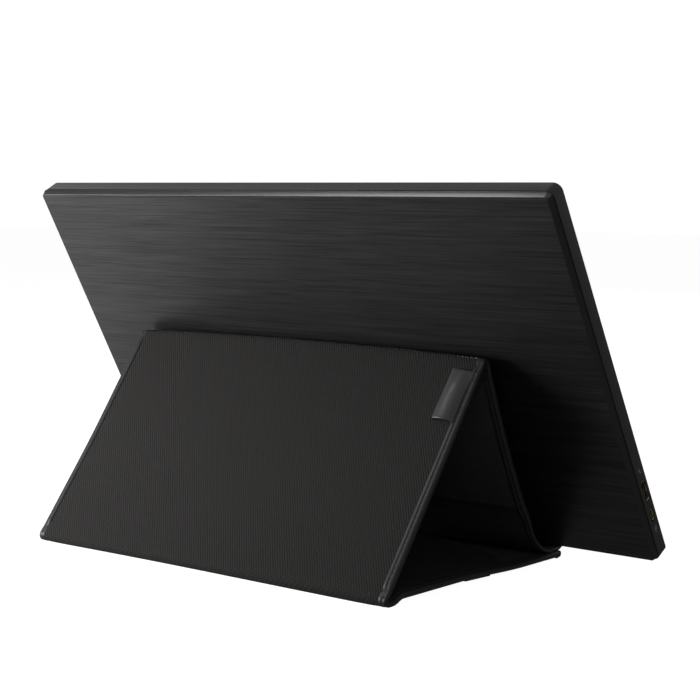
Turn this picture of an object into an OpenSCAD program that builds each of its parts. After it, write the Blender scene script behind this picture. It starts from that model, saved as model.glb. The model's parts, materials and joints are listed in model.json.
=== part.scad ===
// Portable screen standing on its folded cover.
// The cover is a three panel tent: base on the table, back panel, front panel.
// X runs along the screen's width, the screen faces -Y, and Z is up.
// The origin is the middle of the foot strip's underside, on the table.

/* [Screen case] */
// Width of the screen case
screen_w = 382; // [370:1:420]
// Height of the screen case
screen_h = 232; // [226:1:260]
// Depth of the front bezel's side wall
bezel_depth = 8.7; // [8.7:0.1:12]
// Depth of the rear cover, measured from the parting line to the back face
rear_depth = 4.3; // [4:0.1:6]
// Corner radius of the case, seen from the front
case_corner_r = 5; // [3:0.5:9]
// How far the rear cover's side walls draw in towards the back face
rear_draft = 1.2; // [0.4:0.1:2]
// Width of the parting groove between bezel and rear cover
parting_step = 0.3; // [0.1:0.05:0.5]
// Thickness of the bezel's side walls
bezel_wall = 1.8; // [1.2:0.1:2.4]
// Thickness of the bezel's front face
bezel_face = 1.2; // [1:0.1:1.6]
// Chamfer along the bezel's front edge
bezel_chamfer = 0.7; // [0.2:0.1:1]
// Thickness of the rear cover's wall
rear_wall = 1.5; // [1.2:0.1:2]
// Width of a snap tongue that holds the rear cover in the bezel
snap_w = 12; // [8:1:16]
// Reach of a snap tongue behind the parting line
snap_reach = 2; // [1.5:0.1:3]
// Thickness of a snap tongue
snap_t = 1; // [0.8:0.1:1.2]
// Play of a snap tongue at the bezel's wall
snap_play = 0.2; // [0.1:0.05:0.3]
// Sideways offset of the screen from the middle of the cover
screen_shift = -6; // [-30:1:30]
// Lean of the screen back from upright, in degrees
screen_lean = 29; // [27:0.5:34]

/* [Display] */
// Width of the bezel beside the picture
side_border = 18.9; // [15:0.1:24]
// Height of the bezel above the picture
top_border = 14.4; // [12:0.2:24]
// Height of the picture's lower edge above the case's lower edge
picture_base = 24; // [22:0.5:28]
// Overlap of the display glass behind the bezel, on each side
glass_lap = 4.4; // [3:0.2:5]
// Thickness of the display glass
glass_t = 1.3; // [1:0.1:1.4]
// Thickness of the diffuser sheet
diffuser_t = 0.4; // [0.2:0.1:0.5]
// Thickness of the light guide
guide_t = 2; // [1.5:0.1:2]
// Thickness of the reflector sheet
reflector_t = 0.3; // [0.2:0.05:0.3]
// Thickness of the steel tray behind the display
tray_t = 0.6; // [0.4:0.1:0.6]
// Width of the plastic frame round the sheets
panel_frame_w = 4; // [3:0.2:5]
// Height of the light bar under the light guide
led_bar_h = 3; // [2:0.2:4]

/* [Electronics] */
// Thickness of the circuit boards
board_t = 1; // [0.8:0.1:1.2]
// Gap between the tray and the main board
board_gap = 0.1; // [0.1:0.05:0.3]
// Width of the main board
board_w = 128; // [110:1:150]
// Height of the main board
board_h = 66; // [64:1:75]
// Clearance round the main board at the case wall
board_edge_gap = 1.2; // [1:0.1:2]
// Margin of the shield can and the chip on the main board
part_margin = 6; // [5:0.5:8]
// Width of the shield can
can_w = 52; // [35:1:56]
// Height of the shield can
can_h = 34; // [25:1:36]
// Depth of the shield can
can_depth = 2.4; // [1.6:0.1:2.6]
// Wall of the shield can
can_wall = 0.4; // [0.2:0.1:0.5]
// Side of the video chip
chip_side = 14; // [10:1:18]
// Depth of the video chip
chip_depth = 1.2; // [0.8:0.1:1.6]
// Height of the board screws' line above the case's lower edge
screw_line = 9; // [8:0.5:10]
// Distance of the board screws from the main board's side edges
screw_inset = 5; // [4.5:0.5:8]
// Radius of a board screw's shank
screw_r = 1; // [0.8:0.1:1.2]
// Radius of a board screw's head
screw_head_r = 1.9; // [1.8:0.1:2.2]
// Height of a board screw's head
screw_head_h = 1; // [0.8:0.1:1.2]
// Radial clearance of a shank in its bore
screw_play = 0.1; // [0.05:0.05:0.2]
// Wall of the boss round a screw's bore
boss_wall = 1.8; // [1.2:0.1:2]
// Floor left under a screw's bore
bore_floor = 0.4; // [0.2:0.1:0.6]
// Gap between a screw's tip and the floor of its bore
screw_tip_gap = 0.6; // [0.3:0.1:1]
// Width of the flat display cable
flex_w = 40; // [30:1:60]
// Thickness of the flat display cable
flex_t = 0.3; // [0.2:0.05:0.4]
// Height of the flat display cable behind the tray
flex_rise = 30; // [20:1:40]

/* [Sockets] */
// Height of the data socket's middle above the case's lower edge
usb_height = 43.6; // [42:0.2:48]
// Length of the data socket's shell along the case's side
usb_len = 12.4; // [12:0.1:13]
// Height of the video socket's middle above the case's lower edge
video_height = 27.6; // [26:0.2:29]
// Length of the video socket's shell along the case's side
video_len = 7; // [6.5:0.1:7.6]
// Depth of both sockets' shells, across the case
socket_t = 2.8; // [2.6:0.1:3]
// Reach of the data socket's shell in from the case's side
usb_reach = 7; // [6:0.1:8]
// Reach of the video socket's shell in from the case's side
video_reach = 8.2; // [7:0.1:8.4]
// Set-back of a socket's mouth from the case's side
socket_set = 0.3; // [0.2:0.05:0.6]
// Wall of a socket's metal shell
socket_wall = 0.4; // [0.3:0.05:0.5]
// Clearance of a socket's shell in the case's cut-out
socket_gap = 0.7; // [0.2:0.05:0.8]
// Thickness of the tongue inside a socket
tongue_t = 0.7; // [0.5:0.05:0.8]
// Set-back of the tongue's tip from the socket's mouth
tongue_set = 0.7; // [0.5:0.1:1]
// Distance of the tongue from the ends of the shell
tongue_end = 1.2; // [0.8:0.1:1.5]

/* [Power button] */
// Radius of the power button's face
button_r = 4; // [3:0.2:5]
// Height of the power button above the case's lower edge
button_height = 11; // [10.5:0.5:12]
// Distance of the power button from the case's right edge
button_inset = 15; // [14:0.5:16]
// Stand of the button's face off the bezel
button_proud = 0.8; // [0.8:0.1:1.2]
// Radial clearance of the button in the bezel
button_play = 0.25; // [0.15:0.05:0.4]
// Extra radius of the flange that keeps the button in
button_flange = 1.2; // [0.8:0.1:1.4]
// Thickness of the flange
flange_t = 0.8; // [0.6:0.1:1]
// Travel of the button
button_travel = 0.6; // [0.4:0.1:0.7]
// Gap left under the pressed button
button_floor_gap = 0.2; // [0.1:0.05:0.3]
// Margin of the button's board round the button and the light
button_board_edge = 3; // [2:0.5:3]
// Radius of the power light's pipe
light_r = 1; // [0.8:0.1:1.4]
// Distance from the power light to the button's middle
light_offset = 9; // [8:0.5:12]

/* [Cover] */
// Width of the cover over its side bindings
cover_w = 264; // [250:1:300]
// Distance between the back fold and the ridge fold
back_span = 146; // [138:0.5:150]
// Slope of the back panel above the table, in degrees
back_slope = 53.5; // [51:0.5:57]
// Lean of the front panel back from upright, in degrees
front_lean = 22.3; // [20:0.1:24]
// Distance from the origin to the back fold
fold_back = 79.2; // [72:0.2:88]
// Distance of the base's front tip ahead of the screen's lower rear edge
tip_ahead = 6.8; // [5:0.2:8.6]
// Thickness of the outer fabric
fabric_t = 0.8; // [0.6:0.1:1]
// Thickness of the stiffening board in each panel
board_core_t = 1.8; // [1.4:0.1:2.4]
// Thickness of the inner lining
lining_t = 0.8; // [0.6:0.1:1]
// Thickness of the binding tape
tape_t = 0.3; // [0.2:0.05:0.3]
// Width of the binding tape on each face
tape_w = 5; // [4:0.5:8]
// Running clearance between parts that move past each other
running_gap = 0.3; // [0.25:0.05:0.4]
// Margin of the stiffening board inside the fabric's edge
board_margin = 4; // [2:0.5:8]

/* [Base] */
// Height of the base's underside above the table
base_lift = 0.8; // [0.6:0.1:1]
// Depth of the foot strip, front to back
strip_depth = 23; // [15:1:40]
// Distance of the foot strip's ends from the cover's edges
strip_end_gap = 1; // [0:0.5:10]
// Radius of the curved front corners of the base's overlay
overlay_corner_r = 125; // [110:1:130]
// Sideways run of each curved corner, from the binding to the straight front edge
overlay_corner_run = 86; // [40:1:95]
// Distance from the base's tip to the overlay's front edge
overlay_front = 18; // [17:1:30]
// Distance from the base's rear end to the overlay's rear edge
overlay_back = 10; // [8:1:20]
// Thickness of the base's overlay
overlay_t = 0.5; // [0.3:0.1:0.6]

/* [Front panel and ledge] */
// Length of the front panel's board side, from the ridge fold to the seam
front_board_len = 94; // [80:0.5:98]
// Thickness of the soft band and of the ledge
band_t = 2; // [1.6:0.1:2]
// Inner radius of the soft band's bend
band_r = 21; // [18:0.5:23]
// Length of the ledge's flat part under the screen's rear edge
ledge_flat = 7; // [5:0.5:8]
// Height of the lip over the bezel's lower edge
lip_height = 10; // [6:0.5:12]
// Gap between the lip and the bezel
lip_gap = 0.5; // [0.3:0.1:1]
// Drop of the lip's lower corner below the case's lower edge
lip_drop = 3.5; // [3:0.5:4]
// Side wall of the ledge's sleeve round its stiffener
sleeve_wall = 0.6; // [0.4:0.1:0.6]
// Play of the stiffener in its sleeve
stiffener_play = 0.1; // [0.05:0.05:0.15]

/* [Loop tab] */
// Length of the loop tab along the cover's edge
tab_len = 32; // [20:1:40]
// Width of the loop tab
tab_w = 15; // [10:1:25]
// Thickness of the folded loop tab
tab_t = 1.6; // [1:0.1:2]
// Distance from the ridge fold to the loop tab
tab_from_ridge = 8; // [5:0.5:40]
// Distance of the loop tab from the cover's edge
tab_edge = 3.4; // [0:0.2:10]

/* [Hidden] */
$fn = 96;

// Overcut that keeps cutting faces off the faces they cut
cut = 0.5;

// Cover layers and folds
panel_t = fabric_t + board_core_t + lining_t;
fold_r = panel_t + tape_t;
fold_z = fold_r;
panel_start = fold_r + running_gap;
half_cover = cover_w / 2;
edge_r = panel_t / 2 + tape_t;
half_fabric = half_cover - edge_r;
ridge_y = fold_back - back_span * cos(back_slope);
ridge_z = fold_z + back_span * sin(back_slope);
base_top = base_lift + panel_t;
tip_r = (base_top + tape_t / 2) / 2;

// The ledge lies just over the base's binding
ledge_bottom = base_top + tape_t + running_gap;
ledge_top = ledge_bottom + band_t;

// The screen's lower rear edge stands on the ledge and its back leans on the ridge
screen_t = bezel_depth + rear_depth;
foot_z = ledge_top + running_gap;
lean_gap = fold_r + running_gap;
foot_y = ridge_y - (lean_gap + (ridge_z - foot_z) * sin(screen_lean)) / cos(screen_lean);

// The base reaches a little further forward than the screen's lower rear edge
tip_front = tip_ahead - foot_y;
tip_y = -tip_front + tip_r;

// The soft band's bend runs into the level ledge
face_line = panel_t;
bend_z = ledge_top + band_r;
bend_y = ridge_y + ((bend_z - ridge_z) * sin(front_lean) - face_line - band_r) / cos(front_lean);
band_end_a = (ridge_y - bend_y) * sin(front_lean) + (ridge_z - bend_z) * cos(front_lean);

// Depth places inside the screen, from the front face backwards
front_y = -screen_t;
glass_y = front_y + bezel_face;
diffuser_y = glass_y + glass_t;
guide_y = diffuser_y + diffuser_t;
reflector_y = guide_y + guide_t;
tray_y = reflector_y + reflector_t;
board_y = tray_y + tray_t + board_gap;
board_back = board_y + board_t;
socket_y = board_y - socket_t;
picture_w = screen_w - 2 * side_border;
picture_h = screen_h - picture_base - top_border;
glass_w = picture_w + 2 * glass_lap;
glass_h = picture_h + 2 * glass_lap;
glass_base = picture_base - glass_lap;
sheet_w = glass_w - 2 * panel_frame_w;
sheet_h = glass_h - 2 * panel_frame_w;
sheet_base = glass_base + panel_frame_w;
case_left = -screen_w / 2;
snap_x = screen_w * 5 / 16;
snap_z = bezel_wall + snap_play;
board_left = case_left + bezel_wall + board_edge_gap;
board_base = bezel_wall + board_edge_gap;
button_x = screen_w / 2 - button_inset;
can_x = board_left + board_w - can_w - part_margin;
can_base = board_base + board_h - can_h - part_margin;
chip_x = can_x - chip_side - part_margin;
screw_places = [
    [board_left + board_w / 4, screw_line],
    [board_left + board_w - screw_inset, screw_line],
    [board_left + screw_inset, board_base + board_h - screw_inset]
];
button_back = glass_y + flange_t + button_travel + button_floor_gap;

// Places children in the frame of the back panel: Y along it, Z to its inner side
module on_back() {
    translate([0, fold_back, fold_z]) rotate([180 - back_slope, 0, 0]) children();
}

// Places children in the frame of the front panel: Y down it, Z to its inner side
module on_front() {
    translate([0, ridge_y, ridge_z]) rotate([270 - front_lean, 0, 0]) children();
}

// Places children in the frame of the screen: Z up it, Y out of its back
module on_screen() {
    translate([screen_shift, foot_y, foot_z]) rotate([-screen_lean, 0, 0]) children();
}

// Box from one corner to the opposite corner
module block(low, high) {
    translate(low) cube(high - low);
}

// Extrudes a side view, drawn in Y and Z, across X
module across(half) {
    translate([-half, 0, 0]) rotate([90, 0, 90]) linear_extrude(2 * half) children();
}

// Extrudes an end view, drawn in X and Z, along Y
module along(from, to) {
    translate([0, to, 0]) rotate([90, 0, 0]) linear_extrude(to - from) children();
}

// Rectangle with round corners, centred in X and standing on its lower edge
module round_panel(w, h, r) {
    translate([-w / 2 + r, 0]) square([w - 2 * r, h]);
    translate([-w / 2, r]) square([w, h - 2 * r]);
    for (x = [-w / 2 + r, w / 2 - r], y = [r, h - r]) translate([x, y]) circle(r);
}

// Plate of the screen with walls that draw in by inset between two depths
module drafted_plate(w, h, r, y0, y1, inset0, inset1) {
    intersection() {
        along(y0, y1) round_panel(w, h, r);
        translate([0, 0, -cut]) linear_extrude(h + 2 * cut) polygon([
            [-w / 2 + inset0, y0], [w / 2 - inset0, y0],
            [w / 2 - inset1, y1], [-w / 2 + inset1, y1]
        ]);
        across(w) polygon([[y0, inset0], [y0, h - inset0], [y1, h - inset1], [y1, inset1]]);
    }
}

// Flat sheet of the display, centred in X
module sheet(w, h, base, y, t) {
    block([-w / 2, y, base], [w / 2, y + t, base + h]);
}

// Cylinder along the screen's depth
module peg(x, z, y0, y1, r) {
    translate([x, y1, z]) rotate([90, 0, 0]) cylinder(h = y1 - y0, r = r);
}

// One layer of a panel, in that panel's own frame
module layer(half, from, to, low, high) {
    block([-half, from, low], [half, to, high]);
}

// Both side bindings of a panel: tape folded round the edge, with a piped outer edge
module edge_tapes(from, to, low, high) {
    middle = (low + high) / 2;
    inner = half_cover - tape_w;
    for (side = [-1, 1]) {
        along(from, to) difference() {
            union() {
                translate([side * half_fabric, middle]) circle(edge_r);
                translate([side > 0 ? inner : -half_fabric, low - tape_t])
                    square([half_fabric - inner, high - low + 2 * tape_t]);
            }
            translate([side > 0 ? inner - cut : -half_fabric, low])
                square([half_fabric - inner + cut, high - low]);
        }
    }
}

// The binding's loops round both ends of a fold
module fold_loops() {
    inner = half_cover - tape_w;
    for (x = [-half_cover, inner]) translate([x, 0, 0]) rotate([0, 90, 0])
        cylinder(h = tape_w, r = fold_r);
}

// The fabric's own roll between the binding loops of a fold
module fold_core() {
    inner = half_cover - tape_w;
    translate([-inner, 0, 0]) rotate([0, 90, 0]) cylinder(h = 2 * inner, r = panel_t);
}

module rear_cover() {
    color([0.16, 0.16, 0.165]) on_screen() {
        difference() {
            drafted_plate(screen_w, screen_h, case_corner_r, -rear_depth, 0,
                parting_step, parting_step + rear_draft);
            block([-screen_w / 2 + bezel_wall, -rear_depth - cut, bezel_wall],
                [screen_w / 2 - bezel_wall, -rear_wall, screen_h - bezel_wall]);
        }
        // Snap tongues that reach inside the bezel's walls
        for (x = [-snap_x, 0, snap_x], z = [snap_z, screen_h - snap_z - snap_t])
            block([x - snap_w / 2, -rear_depth - snap_reach, z],
                [x + snap_w / 2, -rear_wall, z + snap_t]);
    }
}

module front_bezel() {
    color([0.07, 0.07, 0.075]) on_screen() {
        difference() {
            union() {
                difference() {
                    drafted_plate(screen_w, screen_h, case_corner_r, front_y,
                        front_y + bezel_chamfer, bezel_chamfer, 0);
                    block([-screen_w / 2 + bezel_wall, front_y + bezel_face, bezel_wall],
                        [screen_w / 2 - bezel_wall, 0, screen_h - bezel_wall]);
                }
                difference() {
                    along(front_y + bezel_chamfer, -rear_depth)
                        round_panel(screen_w, screen_h, case_corner_r);
                    block([-screen_w / 2 + bezel_wall, glass_y, bezel_wall],
                        [screen_w / 2 - bezel_wall, 0, screen_h - bezel_wall]);
                }
                for (p = screw_places)
                    peg(p[0], p[1], glass_y - cut, board_y, screw_r + screw_play + boss_wall);
            }
            block([-picture_w / 2, front_y - cut, picture_base],
                [picture_w / 2, 0, picture_base + picture_h]);
            for (p = screw_places)
                peg(p[0], p[1], glass_y + bore_floor, board_y + cut, screw_r + screw_play);
            socket_hole(usb_height, usb_len);
            socket_hole(video_height, video_len);
            peg(button_x, button_height, front_y - cut, glass_y + cut, button_r + button_play);
            peg(button_x - light_offset, button_height, front_y - cut, glass_y + cut, light_r);
        }
    }
}

// Cut-out in the case's left wall for one socket
module socket_hole(height, len) {
    block([case_left - cut, socket_y - socket_gap, height - len / 2 - socket_gap],
        [case_left + bezel_wall + cut, board_y + socket_gap - board_gap,
            height + len / 2 + socket_gap]);
}

module display_glass() {
    color([0.03, 0.03, 0.035]) on_screen() sheet(glass_w, glass_h, glass_base, glass_y, glass_t);
}

module diffuser_sheet() {
    color([0.93, 0.93, 0.93]) on_screen() sheet(sheet_w, sheet_h, sheet_base, diffuser_y, diffuser_t);
}

module light_guide() {
    color([0.85, 0.92, 0.95]) on_screen()
        sheet(sheet_w, sheet_h - led_bar_h, sheet_base + led_bar_h, guide_y, guide_t);
}

module led_bar() {
    color([0.95, 0.9, 0.6]) on_screen() sheet(sheet_w, led_bar_h, sheet_base, guide_y, guide_t);
}

module reflector_sheet() {
    color([0.97, 0.97, 0.97]) on_screen() sheet(sheet_w, sheet_h, sheet_base, reflector_y, reflector_t);
}

module panel_frame() {
    color([0.9, 0.9, 0.88]) on_screen() difference() {
        sheet(glass_w, glass_h, glass_base, diffuser_y, tray_y - diffuser_y);
        sheet(sheet_w, sheet_h, sheet_base, diffuser_y - cut, tray_y - diffuser_y + 2 * cut);
    }
}

module panel_tray() {
    color([0.6, 0.61, 0.62]) on_screen() sheet(glass_w, glass_h, glass_base, tray_y, tray_t);
}

module main_board() {
    color([0.05, 0.3, 0.15]) on_screen() difference() {
        block([board_left, board_y, board_base],
            [board_left + board_w, board_back, board_base + board_h]);
        for (p = screw_places) peg(p[0], p[1], board_y - cut, board_back + cut, screw_r + screw_play);
    }
}

module video_chip() {
    color([0.1, 0.1, 0.1]) on_screen()
        block([chip_x, board_back, can_base],
            [chip_x + chip_side, board_back + chip_depth, can_base + chip_side]);
}

module shield_can() {
    color([0.75, 0.76, 0.77]) on_screen() difference() {
        block([can_x, board_back, can_base],
            [can_x + can_w, board_back + can_depth, can_base + can_h]);
        block([can_x + can_wall, board_back - cut, can_base + can_wall],
            [can_x + can_w - can_wall, board_back + can_depth - can_wall,
                can_base + can_h - can_wall]);
    }
}

module display_cable() {
    color([0.75, 0.45, 0.15]) on_screen() {
        x0 = board_left + board_w;
        low = glass_base - flex_t;
        // Down from the glass, under the frame, and up behind the tray
        block([x0, diffuser_y - glass_t / 2, low], [x0 + flex_w, tray_y + tray_t + flex_t, glass_base]);
        block([x0, tray_y + tray_t, glass_base],
            [x0 + flex_w, tray_y + tray_t + flex_t, glass_base + flex_rise]);
    }
}

// Metal shell of a socket with its tongue, open to the left
module socket(height, len, reach) {
    x0 = case_left + socket_set;
    x1 = case_left + reach;
    difference() {
        block([x0, socket_y, height - len / 2], [x1, board_y, height + len / 2]);
        block([case_left, socket_y + socket_wall, height - len / 2 + socket_wall],
            [x1 - socket_wall, board_y - socket_wall, height + len / 2 - socket_wall]);
    }
    block([x0 + tongue_set, socket_y + (socket_t - tongue_t) / 2, height - len / 2 + tongue_end],
        [x1 - socket_wall, socket_y + (socket_t + tongue_t) / 2, height + len / 2 - tongue_end]);
}

module usb_receptacle() {
    color([0.78, 0.7, 0.52]) on_screen() socket(usb_height, usb_len, usb_reach);
}

module video_receptacle() {
    color([0.78, 0.7, 0.52]) on_screen() socket(video_height, video_len, video_reach);
}

module board_screws() {
    color([0.7, 0.7, 0.72]) on_screen() for (p = screw_places) {
        peg(p[0], p[1], glass_y + bore_floor + screw_tip_gap, board_back, screw_r);
        peg(p[0], p[1], board_back, board_back + screw_head_h, screw_head_r);
    }
}

module button_board() {
    color([0.05, 0.3, 0.15]) on_screen() {
        block([button_x - light_offset - light_r - button_board_edge, button_back, board_base],
            [button_x + button_r + button_board_edge, button_back + board_t,
                button_height + button_r + board_edge_gap]);
    }
}

module light_pipe() {
    color([0.9, 0.9, 0.9]) on_screen()
        peg(button_x - light_offset, button_height, front_y + 0.1, button_back, light_r);
}

module power_button() {
    color([0.1, 0.1, 0.105]) on_screen() {
        peg(button_x, button_height, front_y - button_proud, glass_y + running_gap / 2, button_r);
        peg(button_x, button_height, glass_y + running_gap / 2 - 0.1,
            glass_y + flange_t, button_r + button_flange);
    }
}

module base_fabric() {
    color([0.2, 0.195, 0.19])
        layer(half_fabric, tip_y, fold_back - panel_start, base_lift, base_lift + fabric_t);
}

module base_board() {
    color([0.55, 0.5, 0.42])
        layer(half_fabric - board_margin, tip_y + tip_r + board_margin,
            fold_back - panel_start - board_margin, base_lift + fabric_t,
            base_lift + fabric_t + board_core_t);
}

module base_lining() {
    color([0.16, 0.16, 0.155])
        layer(half_fabric, tip_y, fold_back - panel_start, base_top - lining_t, base_top);
}

// Overlay on the base's inner face, with two wide curved front corners
module base_overlay() {
    inner = half_cover - tape_w;
    front = -tip_front + overlay_front;
    back = fold_back - panel_start - overlay_back;
    straight = inner - overlay_corner_run;
    color([0.14, 0.14, 0.135]) translate([0, 0, base_top]) linear_extrude(overlay_t)
        intersection() {
            block_2d(-inner, front, inner, back);
            union() {
                block_2d(-straight, front, straight, back);
                block_2d(-inner, front + overlay_corner_r, inner, back + overlay_corner_r);
                for (x = [-straight, straight])
                    translate([x, front + overlay_corner_r]) circle(overlay_corner_r, $fn = 180);
            }
        }
}

// Flat rectangle between two corners
module block_2d(x0, y0, x1, y1) {
    translate([x0, y0]) square([x1 - x0, y1 - y0]);
}

module base_binding() {
    color([0.1, 0.1, 0.1]) {
        edge_tapes(tip_y + tip_r, fold_back - panel_start, base_lift, base_top);
        translate([0, fold_back, fold_z]) fold_loops();
    }
}

module base_front_roll() {
    color([0.1, 0.1, 0.1]) difference() {
        translate([-half_cover, tip_y, tip_r]) rotate([0, 90, 0]) cylinder(h = cover_w, r = tip_r);
        layer(half_fabric, tip_y, tip_y + 2 * tip_r, base_lift, base_top);
    }
}

module foot_strip() {
    half = half_cover - strip_end_gap;
    color([0.12, 0.12, 0.12]) difference() {
        layer(half, -strip_depth / 2, strip_depth / 2, 0, base_lift);
        // Room for the side bindings that pass over the strip
        for (x = [-half_cover - cut, half_cover - tape_w])
            block([x, -strip_depth, base_lift - tape_t],
                [x + tape_w + cut, strip_depth, base_lift + cut]);
    }
}

module back_fold_roll() {
    color([0.2, 0.195, 0.19]) translate([0, fold_back, fold_z]) fold_core();
}

module back_fabric() {
    color([0.2, 0.195, 0.19]) on_back()
        layer(half_fabric, panel_start, back_span - panel_start, -panel_t, -panel_t + fabric_t);
}

module back_board() {
    color([0.55, 0.5, 0.42]) on_back()
        layer(half_fabric - board_margin, panel_start + board_margin,
            back_span - panel_start - board_margin, -panel_t + fabric_t, -lining_t);
}

module back_lining() {
    color([0.16, 0.16, 0.155]) on_back()
        layer(half_fabric, panel_start, back_span - panel_start, -lining_t, 0);
}

module back_binding() {
    color([0.1, 0.1, 0.1]) on_back() {
        edge_tapes(panel_start, back_span - panel_start, -panel_t, 0);
        translate([0, back_span, 0]) fold_loops();
    }
}

// Folded leather tab on the outer face of the back panel, next to the right binding
module loop_tab() {
    x0 = -half_cover + tab_edge;
    a1 = back_span - tab_from_ridge;
    low = -panel_t - tape_t - tab_t;
    color([0.08, 0.08, 0.08]) on_back() difference() {
        block([x0, a1 - tab_len, low], [x0 + tab_w, a1, -panel_t]);
        block([x0 - cut, a1 - tab_len - cut, -panel_t - tape_t],
            [-half_cover + tape_w, a1 + cut, 0]);
    }
}

module ridge_roll() {
    color([0.2, 0.195, 0.19]) on_back() translate([0, back_span, 0]) fold_core();
}

module front_fabric() {
    color([0.2, 0.195, 0.19]) on_front()
        layer(half_fabric, panel_start, front_board_len, -panel_t, -panel_t + fabric_t);
}

module front_board() {
    color([0.55, 0.5, 0.42]) on_front()
        layer(half_fabric - board_margin, panel_start + board_margin,
            front_board_len - board_margin, -panel_t + fabric_t, -lining_t);
}

module front_lining() {
    color([0.16, 0.16, 0.155]) on_front()
        layer(half_fabric, panel_start, front_board_len, -lining_t, 0);
}

module front_binding() {
    color([0.1, 0.1, 0.1]) on_front() edge_tapes(panel_start, front_board_len, -panel_t, 0);
}

// Side view of the soft band: straight below the seam, then a bend into the ledge
module band_outline() {
    translate([ridge_y, ridge_z]) rotate(270 - front_lean)
        translate([front_board_len, -panel_t])
        square([band_end_a - front_board_len, band_t]);
    intersection() {
        translate([bend_y, bend_z]) difference() {
            circle(band_r + band_t, $fn = 180);
            circle(band_r, $fn = 180);
        }
        polygon([
            [bend_y, bend_z],
            [bend_y, bend_z - 2 * band_r],
            [bend_y + 2 * band_r, bend_z - 2 * band_r],
            [bend_y + 2 * band_r * cos(front_lean), bend_z - 2 * band_r * sin(front_lean)]
        ]);
    }
}

module soft_band() {
    color([0.13, 0.13, 0.13]) across(half_cover - tape_w) band_outline();
}

module band_binding() {
    color([0.1, 0.1, 0.1]) for (side = [-1, 1])
        translate([side * (half_cover - tape_w / 2), 0, 0]) across(tape_w / 2) band_outline();
}

// Straight bar of the ledge's side view between two points
module bar_2d(p, q, t) {
    run = norm(q - p);
    translate(p) rotate(atan2(q[1] - p[1], q[0] - p[0])) translate([0, -t / 2]) square([run, t]);
}

// Side view of the ledge: level under the screen's rear edge, then up to the lip.
// Shrunk by cut_back on every side for the stiffener inside the sleeve.
module ledge_outline(cut_back) {
    t = band_t - 2 * cut_back;
    out = lip_gap + band_t / 2 + screen_t;
    level = ledge_bottom + band_t / 2;
    start = [bend_y - running_gap - cut_back, level];
    turn = [bend_y - ledge_flat, level];
    corner = [
        foot_y - out * cos(screen_lean) - lip_drop * sin(screen_lean),
        foot_z + out * sin(screen_lean) - lip_drop * cos(screen_lean)
    ];
    rise = lip_drop + lip_height - cut_back;
    top = [corner[0] + rise * sin(screen_lean), corner[1] + rise * cos(screen_lean)];
    bar_2d(start, turn, t);
    bar_2d(turn, corner, t);
    bar_2d(corner, top, t);
    for (p = [turn, corner]) translate(p) circle(t / 2);
}

module ledge_sleeve() {
    inner = half_cover - tape_w;
    color([0.13, 0.13, 0.13]) difference() {
        across(inner) ledge_outline(0);
        across(inner - sleeve_wall) ledge_outline(sleeve_wall);
    }
}

module ledge_stiffener() {
    color([0.55, 0.5, 0.42])
        across(half_cover - tape_w - sleeve_wall - stiffener_play)
        ledge_outline(sleeve_wall + stiffener_play);
}

module ledge_binding() {
    color([0.1, 0.1, 0.1]) for (side = [-1, 1])
        translate([side * (half_cover - tape_w / 2), 0, 0]) across(tape_w / 2) ledge_outline(0);
}

rear_cover();
front_bezel();
display_glass();
diffuser_sheet();
light_guide();
reflector_sheet();
panel_frame();
panel_tray();
led_bar();
main_board();
video_chip();
shield_can();
display_cable();
usb_receptacle();
video_receptacle();
board_screws();
button_board();
light_pipe();
power_button();
base_fabric();
base_board();
base_lining();
base_overlay();
base_binding();
base_front_roll();
foot_strip();
back_fold_roll();
back_fabric();
back_board();
back_lining();
back_binding();
loop_tab();
ridge_roll();
front_fabric();
front_board();
front_lining();
front_binding();
soft_band();
band_binding();
ledge_sleeve();
ledge_stiffener();
ledge_binding();
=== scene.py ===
# %% [markdown]
# # A portable monitor leaning on its folded cover
#
# The object is a flat screen that stands on the ledge of a soft cover and leans on the cover's
# ridge. The cover is one long strip of stiffened cloth with a piped leather edge. It is folded
# into a tent: a base on the table, a back panel that slopes up, and a front panel that comes
# down again, bends forward under the screen and ends in a lip.
#
# The imported CAD model is loaded first as a fixed frame. Every piece below is made around it,
# in metres and in the same place, and most pieces are attached to the CAD body they move with.

# %% Load the frame
import json
import math

import bpy
import numpy as np
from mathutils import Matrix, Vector

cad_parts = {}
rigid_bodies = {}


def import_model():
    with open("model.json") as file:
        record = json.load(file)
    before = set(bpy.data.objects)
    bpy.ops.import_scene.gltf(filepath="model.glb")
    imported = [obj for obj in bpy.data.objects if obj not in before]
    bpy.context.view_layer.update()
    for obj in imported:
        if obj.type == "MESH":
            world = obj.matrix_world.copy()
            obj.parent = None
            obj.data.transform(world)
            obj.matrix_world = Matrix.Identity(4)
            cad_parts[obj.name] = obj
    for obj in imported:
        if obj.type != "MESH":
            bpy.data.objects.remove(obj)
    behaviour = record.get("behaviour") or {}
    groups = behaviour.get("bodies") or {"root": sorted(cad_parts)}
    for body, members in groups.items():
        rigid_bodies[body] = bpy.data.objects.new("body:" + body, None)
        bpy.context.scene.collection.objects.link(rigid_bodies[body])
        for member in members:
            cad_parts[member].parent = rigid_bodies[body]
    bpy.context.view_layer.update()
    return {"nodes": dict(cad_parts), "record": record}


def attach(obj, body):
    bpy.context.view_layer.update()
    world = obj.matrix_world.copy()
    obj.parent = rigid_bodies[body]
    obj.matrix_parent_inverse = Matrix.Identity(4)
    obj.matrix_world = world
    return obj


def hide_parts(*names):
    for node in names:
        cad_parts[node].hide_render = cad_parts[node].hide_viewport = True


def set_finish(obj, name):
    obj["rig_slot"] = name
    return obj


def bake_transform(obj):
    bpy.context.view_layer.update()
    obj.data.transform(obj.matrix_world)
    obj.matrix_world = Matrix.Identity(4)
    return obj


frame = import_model()

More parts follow.
